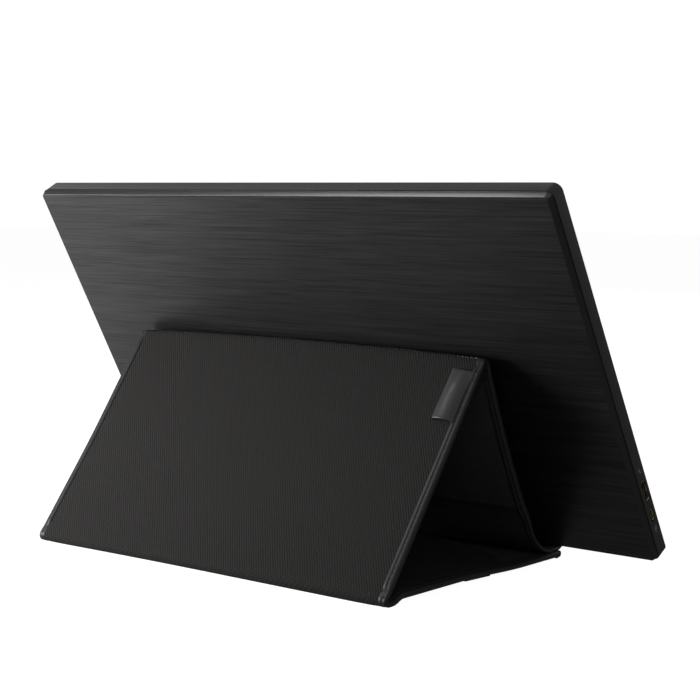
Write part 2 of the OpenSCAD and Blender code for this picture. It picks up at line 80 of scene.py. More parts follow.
# %% [markdown]
# ## The sizes that the pieces share
#
# The cover is easiest to think of in a side view, with Y to the back and Z up. Two folds give
# its shape: the back fold on the table and the ridge. The numbers are the CAD's own, so that
# the dressed pieces lie where the solids are.

# %% Sizes of the cover and the screen, in millimetres
MM = 0.001
COVER_HALF = 132.0                       # half of the cover's width
PANEL = 3.4                              # thickness of a panel
BACK_FOLD = np.array([79.2, 3.7])        # axis of the back fold, as (y, z)
RIDGE = np.array([-7.6441, 121.0632])    # axis of the ridge
BASE_LOW, BASE_TOP = 0.8, 4.2            # the base's two faces
TIP_Y = -80.01                           # front end of the base's cloth
BAND_START = 94.0                        # the soft band's seam, down the front panel from the ridge
BEND = np.array([-72.2665, 27.8])        # centre of the soft bend, and its radius
BEND_R = 22.0
BAND_HALF = 1.15                         # half thickness of the soft band
LEDGE_MID = 5.8                          # height of the ledge's middle
TAPE = 5.0                               # width of the leather edge
SCREEN_FOOT = np.array([-75.3883, 7.1])  # lower edge of the screen's back
SCREEN_LEAN = math.radians(29.0)
SCREEN_W, SCREEN_H, SCREEN_T = 382.0, 232.0, 13.0
SCREEN_SHIFT = -6.0                      # the screen stands this far off the cover's middle

up_back = RIDGE - BACK_FOLD
BACK_LEN = float(np.hypot(*up_back))
up_back = up_back / BACK_LEN
out_back = np.array([up_back[1], -up_back[0]])
FRONT_LEAN = math.radians(22.3)
down_front = np.array([-math.sin(FRONT_LEAN), -math.cos(FRONT_LEAN)])
out_front = np.array([-math.cos(FRONT_LEAN), math.sin(FRONT_LEAN)])
BEND_START = float((BEND - RIDGE) @ down_front)
print("back panel", round(BACK_LEN, 1), "mm between folds")
print("the bend starts", round(BEND_START, 1), "mm below the ridge")

# %% [markdown]
# ## Helpers that turn arrays into meshes
#
# Almost every piece is a grid of points: rows run along the piece and columns run round or
# across it. A grid is worked out as one array, and its squares come from index sums. A closed
# mesh has a volume, and the sign of that volume tells whether its faces look outwards.

# %% Mesh helpers


def grid_quads(rows, cols, wrap_rows=False, wrap_cols=False):
    """Corner numbers of every square of a grid, where row i, column j is point i * cols + j."""
    i, j = np.meshgrid(np.arange(rows if wrap_rows else rows - 1),
                       np.arange(cols if wrap_cols else cols - 1), indexing="ij")
    i2, j2 = (i + 1) % rows, (j + 1) % cols
    return np.stack([i * cols + j, i * cols + j2, i2 * cols + j2, i2 * cols + j], -1).reshape(-1, 4)


def tube_faces(rows, cols):
    """Faces of a grid whose columns close round, with one flat face over its first row and one over its
    last."""
    faces = grid_quads(rows, cols, wrap_cols=True).tolist()
    return faces + [list(range(cols))[::-1], list(range((rows - 1) * cols, rows * cols))]


def two_sided(top, low):
    """Points and faces of a closed sheet from its two skins, which are grids of the same size."""
    rows, cols = top.shape[:2]
    count = rows * cols
    quads = grid_quads(rows, cols)
    rim = np.concatenate([np.arange(cols), np.arange(1, rows) * cols + cols - 1,
                          (rows - 1) * cols + np.arange(cols - 2, -1, -1),
                          np.arange(rows - 2, 0, -1) * cols])
    after = np.roll(rim, -1)
    walls = np.stack([rim, rim + count, after + count, after], -1)
    faces = np.concatenate([quads, quads[:, ::-1] + count, walls])
    return np.concatenate([top.reshape(-1, 3), low.reshape(-1, 3)]), faces.tolist()


def uv_grid(u, v):
    """One UV pair, in metres, for each point of a grid, from values that run across and along it."""
    return np.stack(np.broadcast_arrays(u, v), -1).reshape(-1, 2) * MM


def signed_volume(points, faces):
    """Volume inside a closed mesh: the sum over fans of triangles of a . (b x c) / 6."""
    total = 0.0
    for face in faces:
        p = points[np.asarray(face)]
        total += float(np.sum(p[0] * np.cross(p[1:-1], p[2:])))
    return total / 6


def add_mesh(name, points, faces, uv=None, smooth_deg=40, closed=True, settle=False):
    """Makes an object at the origin from points in millimetres. uv is one pair per point, in metres."""
    points = settled(points) if settle else np.asarray(points, float)
    faces = [list(map(int, f)) for f in faces]
    if closed and signed_volume(points, faces) < 0:
        faces = [f[::-1] for f in faces]
    mesh = bpy.data.meshes.new(name)
    mesh.from_pydata((points * MM).tolist(), [], faces)
    if uv is not None:
        corner = np.zeros(len(mesh.loops), int)
        mesh.loops.foreach_get("vertex_index", corner)
        layer = mesh.uv_layers.new(name="cloth")
        layer.data.foreach_set("uv", np.asarray(uv, np.float32)[corner].ravel())
    mesh.polygons.foreach_set("use_smooth", [True] * len(mesh.polygons))
    mesh.update()
    piece = bpy.data.objects.new(name, mesh)
    bpy.context.scene.collection.objects.link(piece)
    mesh.set_sharp_from_angle(angle=math.radians(smooth_deg))
    return piece


def joined(parts):
    """Several (points, faces, uv) parts as one, with the corner numbers moved on."""
    points, faces, uv, start = [], [], [], 0
    for part in parts:
        points.append(np.asarray(part[0], float))
        faces += [[c + start for c in f] for f in part[1]]
        uv.append(np.asarray(part[2], float))
        start += len(part[0])
    return np.concatenate(points), faces, np.concatenate(uv)


def outward(points, faces):
    """The faces of one closed part, turned so that its volume is above zero."""
    return faces if signed_volume(points, faces) > 0 else [list(f)[::-1] for f in faces]


def settled(points):
    """How the standing cover has settled. Its ridge slides down the back panel by
    (1 + (x - 25)^2 / 10000) mm at the top, and its far end spreads sideways; both fade to nothing at the
    table. The base's near side curls up between the tip and the back fold, and the fold's far end stands
    out to the back."""
    spread_by, curl_by, out_by, top_z = 2.4, 1.9, 3.5, 124.0
    points = np.array(points, float)
    x, y, z = points[..., 0].copy(), points[..., 1].copy(), points[..., 2].copy()
    far_side, near_side = np.clip(x / COVER_HALF, 0, 1), smoothstep(-x / COVER_HALF)
    high = np.clip(z / top_z, 0, 1)
    slide = (1.0 + (x - 25.0) ** 2 / 10000.0) * high ** 2 / up_back[1]
    points[..., 0] += spread_by * far_side * np.clip((z - 20.0) / 100.0, 0, 1)
    points[..., 1:] -= slide[..., None] * up_back
    lying = 1 - smoothstep((z - 7.0) / 3.0)
    between = smoothstep((y + 45.0) / 60.0) * (1 - smoothstep((y - 66.0) / 9.0))
    points[..., 2] += curl_by * near_side * lying * between
    by_the_fold = np.clip(1 - z / 70.0, 0, 1) * smoothstep((y - 20.0) / 50.0)
    points[..., 1] += out_by * far_side ** 2 * by_the_fold
    return points


def smoothstep(t):
    """0 below 0, 1 above 1, and 3 t^2 - 2 t^3 between."""
    t = np.clip(t, 0, 1)
    return t * t * (3 - 2 * t)


print("helpers ready")

# %% [markdown]
# ## Paths in the side view
#
# Cloth that goes round a fold is a line, an arc and a line. The arc's centre is the fold's
# axis. A path is kept as points with the direction that looks out of the cloth, and the length
# run so far is its second UV.

# %% Side view paths


def line(a, b, step=2.0):
    """Evenly spaced points from a to b."""
    n = max(2, int(np.ceil(np.hypot(*(np.asarray(b) - a)) / step)) + 1)
    t = np.linspace(0, 1, n)[:, None]
    return np.asarray(a) * (1 - t) + np.asarray(b) * t


def arc(centre, radius, from_deg, to_deg, n):
    """Points centre + radius (cos a, sin a)."""
    a = np.radians(np.linspace(from_deg, to_deg, n))[:, None]
    return np.asarray(centre) + radius * np.hstack([np.cos(a), np.sin(a)])


def chain(*parts):
    """Joins runs of points and drops a point that repeats the one before it."""
    points = np.concatenate(parts)
    keep = np.r_[True, np.hypot(*np.diff(points, axis=0).T) > 0.05]
    return points[keep]


def normals_of(points, before=None, after=None):
    """Unit normals to the left of the walking direction, from central differences. before and after are
    the neighbouring points past the two ends, where the path goes on in another piece."""
    ends = [p[None] if p is not None else 2 * q[:1] - q[1:2]
            for p, q in ((before, points), (after, points[::-1]))]
    d = np.gradient(np.concatenate([ends[0], points, ends[1]]), axis=0)[1:-1]
    d /= np.hypot(d[:, 0], d[:, 1])[:, None]
    return np.stack([-d[:, 1], d[:, 0]], -1)


def run_length(points):
    """Length of the path up to each point."""
    return np.r_[0, np.cumsum(np.hypot(*np.diff(points, axis=0).T))]


def resampled(points, count):
    """The same path with a set number of points, evenly spaced by linear interpolation."""
    s = run_length(points)
    t = np.linspace(0, s[-1], count)
    return np.stack([np.interp(t, s, points[:, 0]), np.interp(t, s, points[:, 1])], -1)


def even(points, step):
    """The same path with points a step apart."""
    return resampled(points, max(2, int(np.ceil(run_length(points)[-1] / step)) + 1))


BACK_DEG = math.degrees(math.atan2(out_back[1], out_back[0]))
FRONT_DEG = math.degrees(math.atan2(out_front[1], out_front[0]))
MIDDLE = 73.0  # the lower and upper pieces of the cover meet this far up the back panel


def on_back(a, n):
    """Point of the back panel, a along it from the back fold and n outwards from its inner face."""
    return BACK_FOLD + a * up_back + n * out_back


def bow(a):
    """Inward bow of the front panel, in millimetres: 2.4 sin(pi a / 104) down to a = 104, then none."""
    a = np.asarray(a, float)
    return np.where(a < 104, -2.4 * np.sin(np.pi * np.clip(a, 0, 104) / 104), 0.0)


def on_front(a, n):
    """Point of the front panel, a down it from the ridge and n outwards from its inner face."""
    return RIDGE + a * down_front + (n + float(bow(a))) * out_front


def front_run(a0, a1, n, step=2.0):
    """Points down the front panel with its bow."""
    return np.array([on_front(a, n) for a in np.linspace(a0, a1, max(2, int((a1 - a0) / step) + 1))])


outer_low = chain(line((TIP_Y, BASE_LOW), (BACK_FOLD[0] - 9, BASE_LOW)),
                  line((BACK_FOLD[0] - 9, BASE_LOW), (BACK_FOLD[0] - 2.5, BACK_FOLD[1] - PANEL), 1.0),
                  arc(BACK_FOLD, PANEL, -90, BACK_DEG, 20),
                  line(on_back(1.0, PANEL), on_back(MIDDLE, PANEL)))
outer_high = chain(line(on_back(MIDDLE, PANEL), on_back(BACK_LEN, PANEL)),
                   arc(RIDGE, PANEL, BACK_DEG, FRONT_DEG, 20),
                   front_run(0.5, BAND_START, PANEL))
inner_low = chain(line((TIP_Y, BASE_TOP), (BACK_FOLD[0] - 3.0, BASE_TOP)),
                  arc(BACK_FOLD + (-2.6, 1.9), 1.4, -90, BACK_DEG, 8),
                  line(on_back(3.6, 0), on_back(MIDDLE, 0)))
inner_high = chain(line(on_back(MIDDLE, 0), on_back(BACK_LEN - 2.6, 0)),
                   arc(RIDGE + (-0.05, -2.55), 1.25, BACK_DEG, FRONT_DEG, 8),
                   front_run(2.6, BAND_START, 0.0))
side_paths = (outer_low, outer_high, inner_low, inner_high)
print("paths:", [round(float(run_length(p)[-1]), 1) for p in side_paths], "mm")

# %% [markdown]
# ## Cloth panels
#
# The cover's cloth is glued over boards and sewn under the leather edge, so it is a thin sheet
# that stands slightly proud in the middle and dips where the edge tape holds it. Each sheet is
# a grid carried along the side path. A thickness turns it into a closed shell. The cut size is
# kept on each sheet as a property, because cloth keeps its area.

# %% Cloth sheets along a path


def cloth_strip(name, path, look, thick, half, puff, start, step=1.6, across=86):
    """A sheet of cloth carried along path. look is +1 or -1, the side that is seen.
    Height over the path: puff (1 - exp(-d / 7)), where d is the distance from the side edge."""
    side = even(path, step)
    n = normals_of(side) * look
    s = run_length(side) + start
    crowded = half * np.sin(np.linspace(-np.pi / 2, np.pi / 2, across))
    x = crowded * 0.35 + np.linspace(-half, half, across) * 0.65
    rise = puff * (1 - np.exp(-(half - np.abs(x)) / 7.0))
    top = np.zeros((len(side), across, 3))
    top[..., 0] = x
    top[..., 1:] = side[:, None, :] + n[:, None, :] * rise[None, :, None]
    low = top.copy()
    low[..., 1:] -= n[:, None, :] * thick
    uv = uv_grid(x[None, :], s[:, None])
    piece = add_mesh(name, *two_sided(top, low), np.concatenate([uv, uv]), settle=True)
    piece["flat"] = [2 * half * MM, float(s[-1] - s[0]) * MM]
    return piece


def bend_with(piece):
    """Bakes the piece's place into its mesh; it is not attached to any body."""
    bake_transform(piece)


CLOTH_HALF = COVER_HALF - 3.4
CLOTH_T, CLOTH_PUFF, LINING_PUFF = 0.75, 0.45, 0.2
outer_start = float(run_length(outer_low)[-1])
inner_start = float(run_length(inner_low)[-1])
cloth_low = cloth_strip("cover_cloth_base_and_back", outer_low, -1, CLOTH_T, CLOTH_HALF,
                        CLOTH_PUFF, 0.0)
cloth_high = cloth_strip("cover_cloth_back_and_front", outer_high, -1, CLOTH_T, CLOTH_HALF,
                         CLOTH_PUFF, outer_start)
lining_low = cloth_strip("cover_lining_base_and_back", inner_low, 1, CLOTH_T, CLOTH_HALF,
                         LINING_PUFF, 0.0)
lining_high = cloth_strip("cover_lining_back_and_front", inner_high, 1, CLOTH_T, CLOTH_HALF,
                          LINING_PUFF, inner_start)
for piece in (cloth_low, lining_low):
    bend_with(piece)
for piece in (cloth_high, lining_high):
    bend_with(piece)
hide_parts("base_fabric", "back_fold_roll", "back_fabric")
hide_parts("ridge_roll", "front_fabric")
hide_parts("base_lining", "back_lining")
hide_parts("front_lining")
for piece, slot in ((cloth_low, "outer_fabric"), (cloth_high, "outer_fabric"),
                    (lining_low, "lining_fabric"), (lining_high, "lining_fabric")):
    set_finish(piece, slot)
print("cloth sheets made")

# %% [markdown]
# ## Boards inside the panels
#
# Between cloth and lining lies a stiff pressed board. It can't be seen, but the cover has
# settled and the front panel bows a little, so a flat board would come through the cloth. The
# same grid makes boards that follow the cloth, with a larger thickness.

# %% Boards


BOARD_T, BOARD_HALF, BOARD_DEPTH = 1.5, COVER_HALF - 7.0, 0.95


def board(name, path, stands_for, body):
    """A board whose outer face follows path."""
    piece = cloth_strip(name, path, -1, BOARD_T, BOARD_HALF, 0.0, 0.0, step=6.0, across=24)
    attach(piece, body)
    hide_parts(stands_for)
    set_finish(piece, "stiffening_board")
    return piece


base_board_z = BASE_LOW + 0.9
base_board_path = line((TIP_Y + 4, base_board_z), (BACK_FOLD[0] - 10, base_board_z))
back_board_path = line(on_back(6, PANEL - BOARD_DEPTH), on_back(BACK_LEN - 7, PANEL - BOARD_DEPTH))
front_board_path = front_run(7, BAND_START - 2, PANEL - BOARD_DEPTH)
board("base_board_inside", base_board_path, "base_board", "base")
board("back_board_inside", back_board_path, "back_board", "back_panel")
board("front_board_inside", front_board_path, "front_board", "front_panel")
print("boards made")

# %% [markdown]
# ## The piped leather edge
#
# A strip of leather is folded over the side edge of the whole cover and sewn through. Seen in
# section it is a round bead at the very edge, a flat, a furrow where the thread pulls it down,
# and a rolled inner hem. The section is carried along the middle of the panels and turns
# round the folds in a tight loop. It is one surface: stations along the cover, points round
# the section.

# %% Middle path of the cover, with its half thickness
EDGE_HALF = 2.0                # half thickness of the leather edge along the panels
LOOP_R, LOOP_HALF = 2.15, 1.55  # radius of its loop round a fold, and its half thickness there


def toe_path():
    """Middle line of the soft band, the bend, the ledge, the slope under the bezel and the lip."""
    straight = np.array([on_front(a, 2.35) for a in np.linspace(BAND_START, BEND_START - 1, 10)])
    turn = arc(BEND, BEND_R, -22.3, -90, 26)
    t = np.linspace(0, 1, 26)[:, None]
    turn = turn + np.hstack([-0.9 * np.sin(np.pi * t), 0 * t])
    lean = np.array([math.sin(SCREEN_LEAN), math.cos(SCREEN_LEAN)])
    back = np.array([math.cos(SCREEN_LEAN), -math.sin(SCREEN_LEAN)])
    out = 0.5 + 1.0 + SCREEN_T
    corner = SCREEN_FOOT - out * back - 3.5 * lean
    turn_end = np.array([BEND[0] - 7.0, LEDGE_MID])
    level = line((BEND[0] - 0.4, LEDGE_MID), turn_end, 0.8)
    slope = line(turn_end, corner, 0.9)
    rise = line(corner, corner + 13.5 * lean, 0.9)
    return straight, turn, level, slope, rise


def rounded_path(points, width):
    """Runs a moving average along the path, which rounds its corners; the two ends stay put."""
    p = even(points, 0.5)
    k = max(3, int(width / 0.5) | 1)
    pad = np.concatenate([2 * p[:1] - p[1:k][::-1], p, 2 * p[-1:] - p[-k:-1][::-1]])
    kernel = np.hanning(k + 2)[1:-1]
    kernel /= kernel.sum()
    out = np.stack([np.convolve(pad[:, i], kernel, "same") for i in (0, 1)], -1)[k - 1:-(k - 1)]
    out[0], out[-1] = p[0], p[-1]
    return out


base_mid = (BASE_LOW + BASE_TOP) / 2
edge_low = chain(line((TIP_Y, base_mid), (BACK_FOLD[0] - 10, base_mid)),
                 line((BACK_FOLD[0] - 10, base_mid), (BACK_FOLD[0] - 3.2, BACK_FOLD[1] - LOOP_R), 1.0),
                 arc(BACK_FOLD, LOOP_R, -90, BACK_DEG, 22),
                 line(on_back(5.0, PANEL / 2), on_back(MIDDLE, PANEL / 2)))
edge_low = rounded_path(edge_low, 3.0)
toe_parts = toe_path()
edge_front = chain(line(on_back(MIDDLE, PANEL / 2), on_back(BACK_LEN - 5.0, PANEL / 2)),
                   arc(RIDGE, LOOP_R, BACK_DEG, FRONT_DEG, 22),
                   front_run(5.0, BAND_START - 4, PANEL / 2), toe_parts[0][3:], *toe_parts[1:])
edge_front = rounded_path(edge_front, 3.0)
split = int(np.argmin(np.abs((edge_front - RIDGE) @ down_front - BAND_START)
                      + 1000 * (edge_front[:, 1] > 60) + 1000 * (edge_front[:, 0] > -20)))


def near(points, place, reach):
    """1 within 3 mm of a place, falling to 0 at reach beyond that."""
    return 1 - smoothstep((np.hypot(*(points - place).T) - 3.0) / reach)


half_low = EDGE_HALF + (LOOP_HALF - EDGE_HALF) * near(edge_low, BACK_FOLD, 6.0)
half_front = EDGE_HALF + (LOOP_HALF - EDGE_HALF) * near(edge_front, RIDGE, 6.0)
run_toe = run_length(edge_front) - run_length(edge_front)[split]
half_front += (BAND_HALF + 0.15 - EDGE_HALF) * smoothstep(run_toe / 16.0)
half_front = np.where(run_toe > 44, BAND_HALF, half_front)
edge_high, edge_toe = edge_front[:split + 1], edge_front[split:]
half_high, half_toe = half_front[:split + 1], half_front[split:]
print("edge stations:", len(edge_low), len(edge_high), len(edge_toe))


# %% Section of the edge and its sweep
# Distance in from the outer edge, height over the cloth, both in millimetres
HEM = np.array([(5.0, -0.30), (5.02, 0.22), (4.75, 0.52), (4.2, 0.66), (3.6, 0.68), (3.1, 0.56),
                (2.75, 0.30), (2.45, 0.14), (2.2, 0.12), (1.95, 0.2), (1.75, 0.28)])


def edge_section(half):
    """Section points as (inward distance, height over the middle): hem, furrow, bead, and back again.
    The hem is pressed flat where the edge is thin, in the folds' tight loops."""
    pressed = 0.45 + 0.55 * smoothstep((half - LOOP_HALF) / (EDGE_HALF - LOOP_HALF))
    upper = HEM * (1, pressed) + (0, half - 0.3)
    a = np.radians(np.linspace(62, -62, 13))
    bead_r = half * 1.02
    bead = np.stack([bead_r * 0.98 - bead_r * np.cos(a), bead_r * np.sin(a)], -1)
    lower = upper[::-1] * (1, -1)
    return np.concatenate([upper, bead, lower])


def swept_edge(path, half, before=None, after=None):
    """Carries the section along path, once for each side of the cover."""
    n = normals_of(path, before, after)
    s = run_length(path)
    parts = []
    for side in (-1, 1):
        ring = np.array([edge_section(h) for h in half])
        points = np.zeros((*ring.shape[:2], 3))
        points[..., 0] = side * (COVER_HALF - ring[..., 0])
        points[..., 1:] = path[:, None, :] + n[:, None, :] * -ring[..., 1:2]
        faces = tube_faces(*ring.shape[:2])
        flat = points.reshape(-1, 3)
        uv = uv_grid(run_length(ring[0])[None, :], s[:, None])
        parts.append((flat, outward(flat, faces), uv))
    return joined(parts)


binding_low = add_mesh("edge_binding_base_and_back", *swept_edge(edge_low, half_low),
                       closed=False, settle=True)
binding_high = add_mesh("edge_binding_back_and_front",
                        *swept_edge(edge_high, half_high, after=edge_front[split + 1]),
                        closed=False, settle=True)
binding_toe = add_mesh("edge_binding_toe",
                       *swept_edge(edge_toe, half_toe, before=edge_front[split - 1]),
                       closed=False, settle=True)
bend_with(binding_low)
bend_with(binding_high)
bend_with(binding_toe)
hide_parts("base_binding", "back_binding")
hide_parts("front_binding")
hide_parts("band_binding", "ledge_binding")
for piece in (binding_low, binding_high, binding_toe):
    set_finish(piece, "binding_leather")
print("edge faces:", sum(len(o.data.polygons) for o in (binding_low, binding_high, binding_toe)))

# %% [markdown]
# ## The base's front roll
#
# The base's front end is bound with the same leather, which runs across the whole width. It
# is a half round with a hem on top and below.

# %% Front roll


def front_roll():
    """The binding's section turned to look forward, carried across X."""
    half = (BASE_TOP - BASE_LOW) / 2 + 0.3
    ring = edge_section(half)
    x = np.linspace(-COVER_HALF + 0.6, COVER_HALF - 0.6, 60)
    points = np.zeros((len(x), len(ring), 3))
    points[..., 0] = x[:, None]
    points[..., 1] = TIP_Y - half + ring[None, :, 0]
    points[..., 2] = base_mid + ring[None, :, 1]
    uv = uv_grid(ring[None, :, 0], x[:, None])
    return points.reshape(-1, 3), tube_faces(len(x), len(ring)), uv


roll = add_mesh("base_front_edge", *front_roll())
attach(roll, "base")
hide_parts("base_front_roll")
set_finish(roll, "binding_leather")
print("front roll made")

# %% [markdown]
# ## The soft band, the ledge and the lip
#
# Below a seam the front panel has no board. It is a soft ribbed band that bulges a little to
# the inside of the tent, bends forward and becomes the ledge and lip that hold the screen. It
# is one closed sleeve: an inner skin and an outer skin along the same middle path.

# %% Soft band and ledge
band_path = rounded_path(chain(*toe_parts), 2.5)
band_n = normals_of(band_path)
band_s = run_length(band_path)
bulge = 1.9 * np.sin(np.pi * np.clip((band_s - 3.0) / 36.0, 0, 1)) ** 0.8
SKIN_OFF = BAND_HALF - 0.15  # each skin's distance from the middle path
BAND_X = COVER_HALF - 3.6    # half width of the sleeve


def band_shell():
    """Two skins a thickness apart, carried across X; the bulge fades out towards the side edges."""
    x = np.linspace(-BAND_X, BAND_X, 72)
    fade = 1 - np.exp(-(BAND_X - np.abs(x)) / 9.0)
    keep = np.arange(0, len(band_path), 2)
    p, n, s = band_path[keep], band_n[keep], band_s[keep]
    inner_h = SKIN_OFF + bulge[keep][:, None] * fade[None, :]
    skins = []
    for height in (inner_h, np.full_like(inner_h, -SKIN_OFF)):
        skin = np.zeros((*height.shape, 3))
        skin[..., 0] = x
        skin[..., 1:] = p[:, None, :] + n[:, None, :] * height[..., None]
        skins.append(skin)
    uv = uv_grid(x[None, :], s[:, None])
    return *two_sided(*skins), np.concatenate([uv, uv])


band = add_mesh("soft_band_and_ledge", *band_shell(), settle=True)
bend_with(band)
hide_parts("soft_band", "ledge_sleeve")
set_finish(band, "band_fabric")
print("band", round(float(band_s[-1]), 1), "mm long")

# %% [markdown]
# ## Stitches
#
# Thread shows as short, slightly sunk dashes. One stitch is a small capsule of a few dozen
# faces. It is repeated by adding its points to each place along a path, in one array.

# %% Stitch rows


def capsule(length, radius, rings=5, sides=6):
    """A closed capsule along its first axis: circles of radius r cos(b) at x = l/2 sin(b)."""
    b = np.linspace(-np.pi / 2, np.pi / 2, rings + 2)[1:-1]
    a = np.arange(sides) / sides * 2 * np.pi
    x = np.sin(b) * length / 2
    r = radius * np.cos(b) ** 0.55
    ring = np.stack([np.broadcast_to(x[:, None], (rings, sides)), r[:, None] * np.cos(a),
                     r[:, None] * np.sin(a)], -1)
    points = np.concatenate([ring.reshape(-1, 3), [[-length / 2, 0, 0], [length / 2, 0, 0]]])
    faces = grid_quads(rings, sides, wrap_cols=True).tolist()
    k = rings * sides
    faces += [[(j + 1) % sides, j, k] for j in range(sides)]
    faces += [[(rings - 1) * sides + j, (rings - 1) * sides + (j + 1) % sides, k + 1] for j in range(sides)]
    return points, outward(points, faces)


def stitch_row(places, along, out, length=2.1, radius=0.26, tilt=0.0):
    """Capsules at places. Each lies along its direction, turned by tilt in the cloth's plane."""
    body, faces = capsule(length, radius)
    out = out / np.linalg.norm(out, axis=1)[:, None]
    side = np.cross(out, along)
    turned = along * math.cos(tilt) + side * math.sin(tilt)
    side = np.cross(out, turned)
    points = (places[:, None, :] + body[None, :, 0:1] * turned[:, None, :]
              + body[None, :, 1:2] * side[:, None, :] + body[None, :, 2:3] * out[:, None, :])
    every = [[c + i * len(body) for c in f] for i in range(len(places)) for f in faces]
    return points.reshape(-1, 3), every, np.zeros((len(places) * len(body), 2))


def row_on_edge(path, half, face, side, pitch=3.0, inward=2.25, height=0.02, skip=2.0):
    """Stitches in the edge's furrow. face is +1 for the outer side and -1 for the inner side."""
    s = run_length(path)
    at = np.arange(skip, s[-1] - skip, pitch)
    n = normals_of(path)
    y, z = np.interp(at, s, path[:, 0]), np.interp(at, s, path[:, 1])
    ny, nz = np.interp(at, s, n[:, 0]), np.interp(at, s, n[:, 1])
    h = np.interp(at, s, half) - 0.3 + 0.14 + height
    out = np.stack([0 * ny, -ny, -nz], -1) * face
    place = np.stack([np.full(len(at), side * (COVER_HALF - inward)), y, z], -1) + out * h[:, None]
    along = np.stack([0 * ny, nz, -ny], -1)
    return stitch_row(place, along, out, tilt=0.10 * side)


def four_rows(name, path, half):
    """The rows on both faces of both side edges, as one object."""
    rows = [row_on_edge(path, half, face, side) for face in (1, -1) for side in (-1, 1)]
    return add_mesh(name, *joined(rows), closed=False, settle=True)


thread_low = four_rows("edge_stitches_base_and_back", edge_low, half_low)
thread_high = four_rows("edge_stitches_back_and_front", edge_high, half_high)
thread_toe = four_rows("edge_stitches_toe", edge_toe, half_toe)
bend_with(thread_low)
bend_with(thread_high)
bend_with(thread_toe)

ROW_X = np.arange(-COVER_HALF + 6.5, COVER_HALF - 6.0, 3.1)


def row_across(spots, out, **size):
    """A row that runs across the cover at the (y, z) spots. out is the way out of the cloth."""
    place = np.column_stack([ROW_X, spots])
    along = np.tile([1.0, 0, 0], (len(ROW_X), 1))
    return stitch_row(place, along, np.tile([0, *out], (len(ROW_X), 1)), **size)


def ridge_row():
    """The row along the ridge. It starts just under the crest at the near end and runs over it towards the
    far end, following the round with off = sqrt(r^2 - past^2)."""
    past = 2.0 + 1.3 * smoothstep((ROW_X + 112.0) / 75.0)
    off = np.sqrt((PANEL + 0.16) ** 2 - past ** 2)
    spots = BACK_FOLD + (BACK_LEN + past)[:, None] * up_back + off[:, None] * out_back
    return row_across(spots, out_back, length=2.2, radius=0.28)


def seam_row():
    """The row over the seam between the front panel and the soft band, on the inside of the tent."""
    spots = np.tile(on_front(BAND_START - 2.0, -0.28), (len(ROW_X), 1))
    return row_across(spots, -out_front, length=1.9, radius=0.24)


thread_ridge = add_mesh("ridge_stitches", *ridge_row(), closed=False, settle=True)
thread_seam = add_mesh("seam_stitches", *seam_row(), closed=False, settle=True)
bend_with(thread_ridge)
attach(thread_seam, "front_panel")
threads = (thread_low, thread_high, thread_toe, thread_ridge, thread_seam)
print("stitch faces:", sum(len(o.data.polygons) for o in threads))

# %% [markdown]
# ## Overlay, foot strip and loop tab
#
# The base has a second layer on its inner face with two wide curved corners and a sewn rim.
# Under it runs a rubber strip. A folded leather tab sits on the back panel beside the edge.

# %% Overlay on the base
OVERLAY_R, OVERLAY_RUN = 125.0, 86.0
OVERLAY_X = COVER_HALF - TAPE
OVERLAY_FRONT, OVERLAY_BACK = -64.19, 65.2


def overlay_outline(grow, n=40):
    """Half of the outline with x above 0, from the front middle to the back middle, moved out by grow."""
    straight = OVERLAY_X - OVERLAY_RUN
    theta = np.linspace(0, math.asin(OVERLAY_RUN / OVERLAY_R), n)
    radius = OVERLAY_R + grow
    x = straight + radius * np.sin(theta)
    y = OVERLAY_FRONT + OVERLAY_R - radius * np.cos(theta)
    keep = x <= OVERLAY_X + grow + 1e-6
    x, y = x[keep], y[keep]
    side_x = OVERLAY_X + grow
    tail = np.array([(side_x, y[-1] + 0.4), (side_x, OVERLAY_BACK + grow), (0, OVERLAY_BACK + grow)])
    head = np.array([(0, OVERLAY_FRONT - grow)])
    return np.concatenate([head, np.stack([x, y], -1), tail])


def overlay_mesh():
    """Rings of the outline at several insets: outer foot, rolled rim, furrow and flat middle."""
    profile = [(0.0, -0.05), (0.0, 0.55), (-0.35, 0.85), (-1.0, 0.95),
               (-1.6, 0.8), (-2.1, 0.5), (-2.7, 0.5), (-4.0, 0.58)]
    count, rings = 150, []
    for grow, z in profile:
        half = resampled(overlay_outline(grow), count)
        other = half[::-1] * (-1, 1)
        loop = np.concatenate([half, other[1:-1]])
        rings.append(np.column_stack([loop, np.full(len(loop), BASE_TOP + z)]))
    cols = len(rings[0])
    points = np.concatenate(rings)
    faces = grid_quads(len(rings), cols, wrap_cols=True).tolist()
    last = (len(rings) - 1) * cols
    faces += [[last + i, last + i + 1, last + cols - i - 1, last + (cols - i) % cols]
              for i in range(1, count - 1)]
    faces += [[last, last + 1, last + cols - 1]]
    faces += [[i, (cols - i) % cols, cols - i - 1, i + 1] for i in range(1, count - 1)]
    faces += [[0, cols - 1, 1]]
    return points, faces, points[:, :2] * MM


overlay = add_mesh("base_inner_overlay", *overlay_mesh(), settle=True)
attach(overlay, "base")
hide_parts("base_overlay")
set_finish(overlay, "overlay_fabric")
print("overlay made")


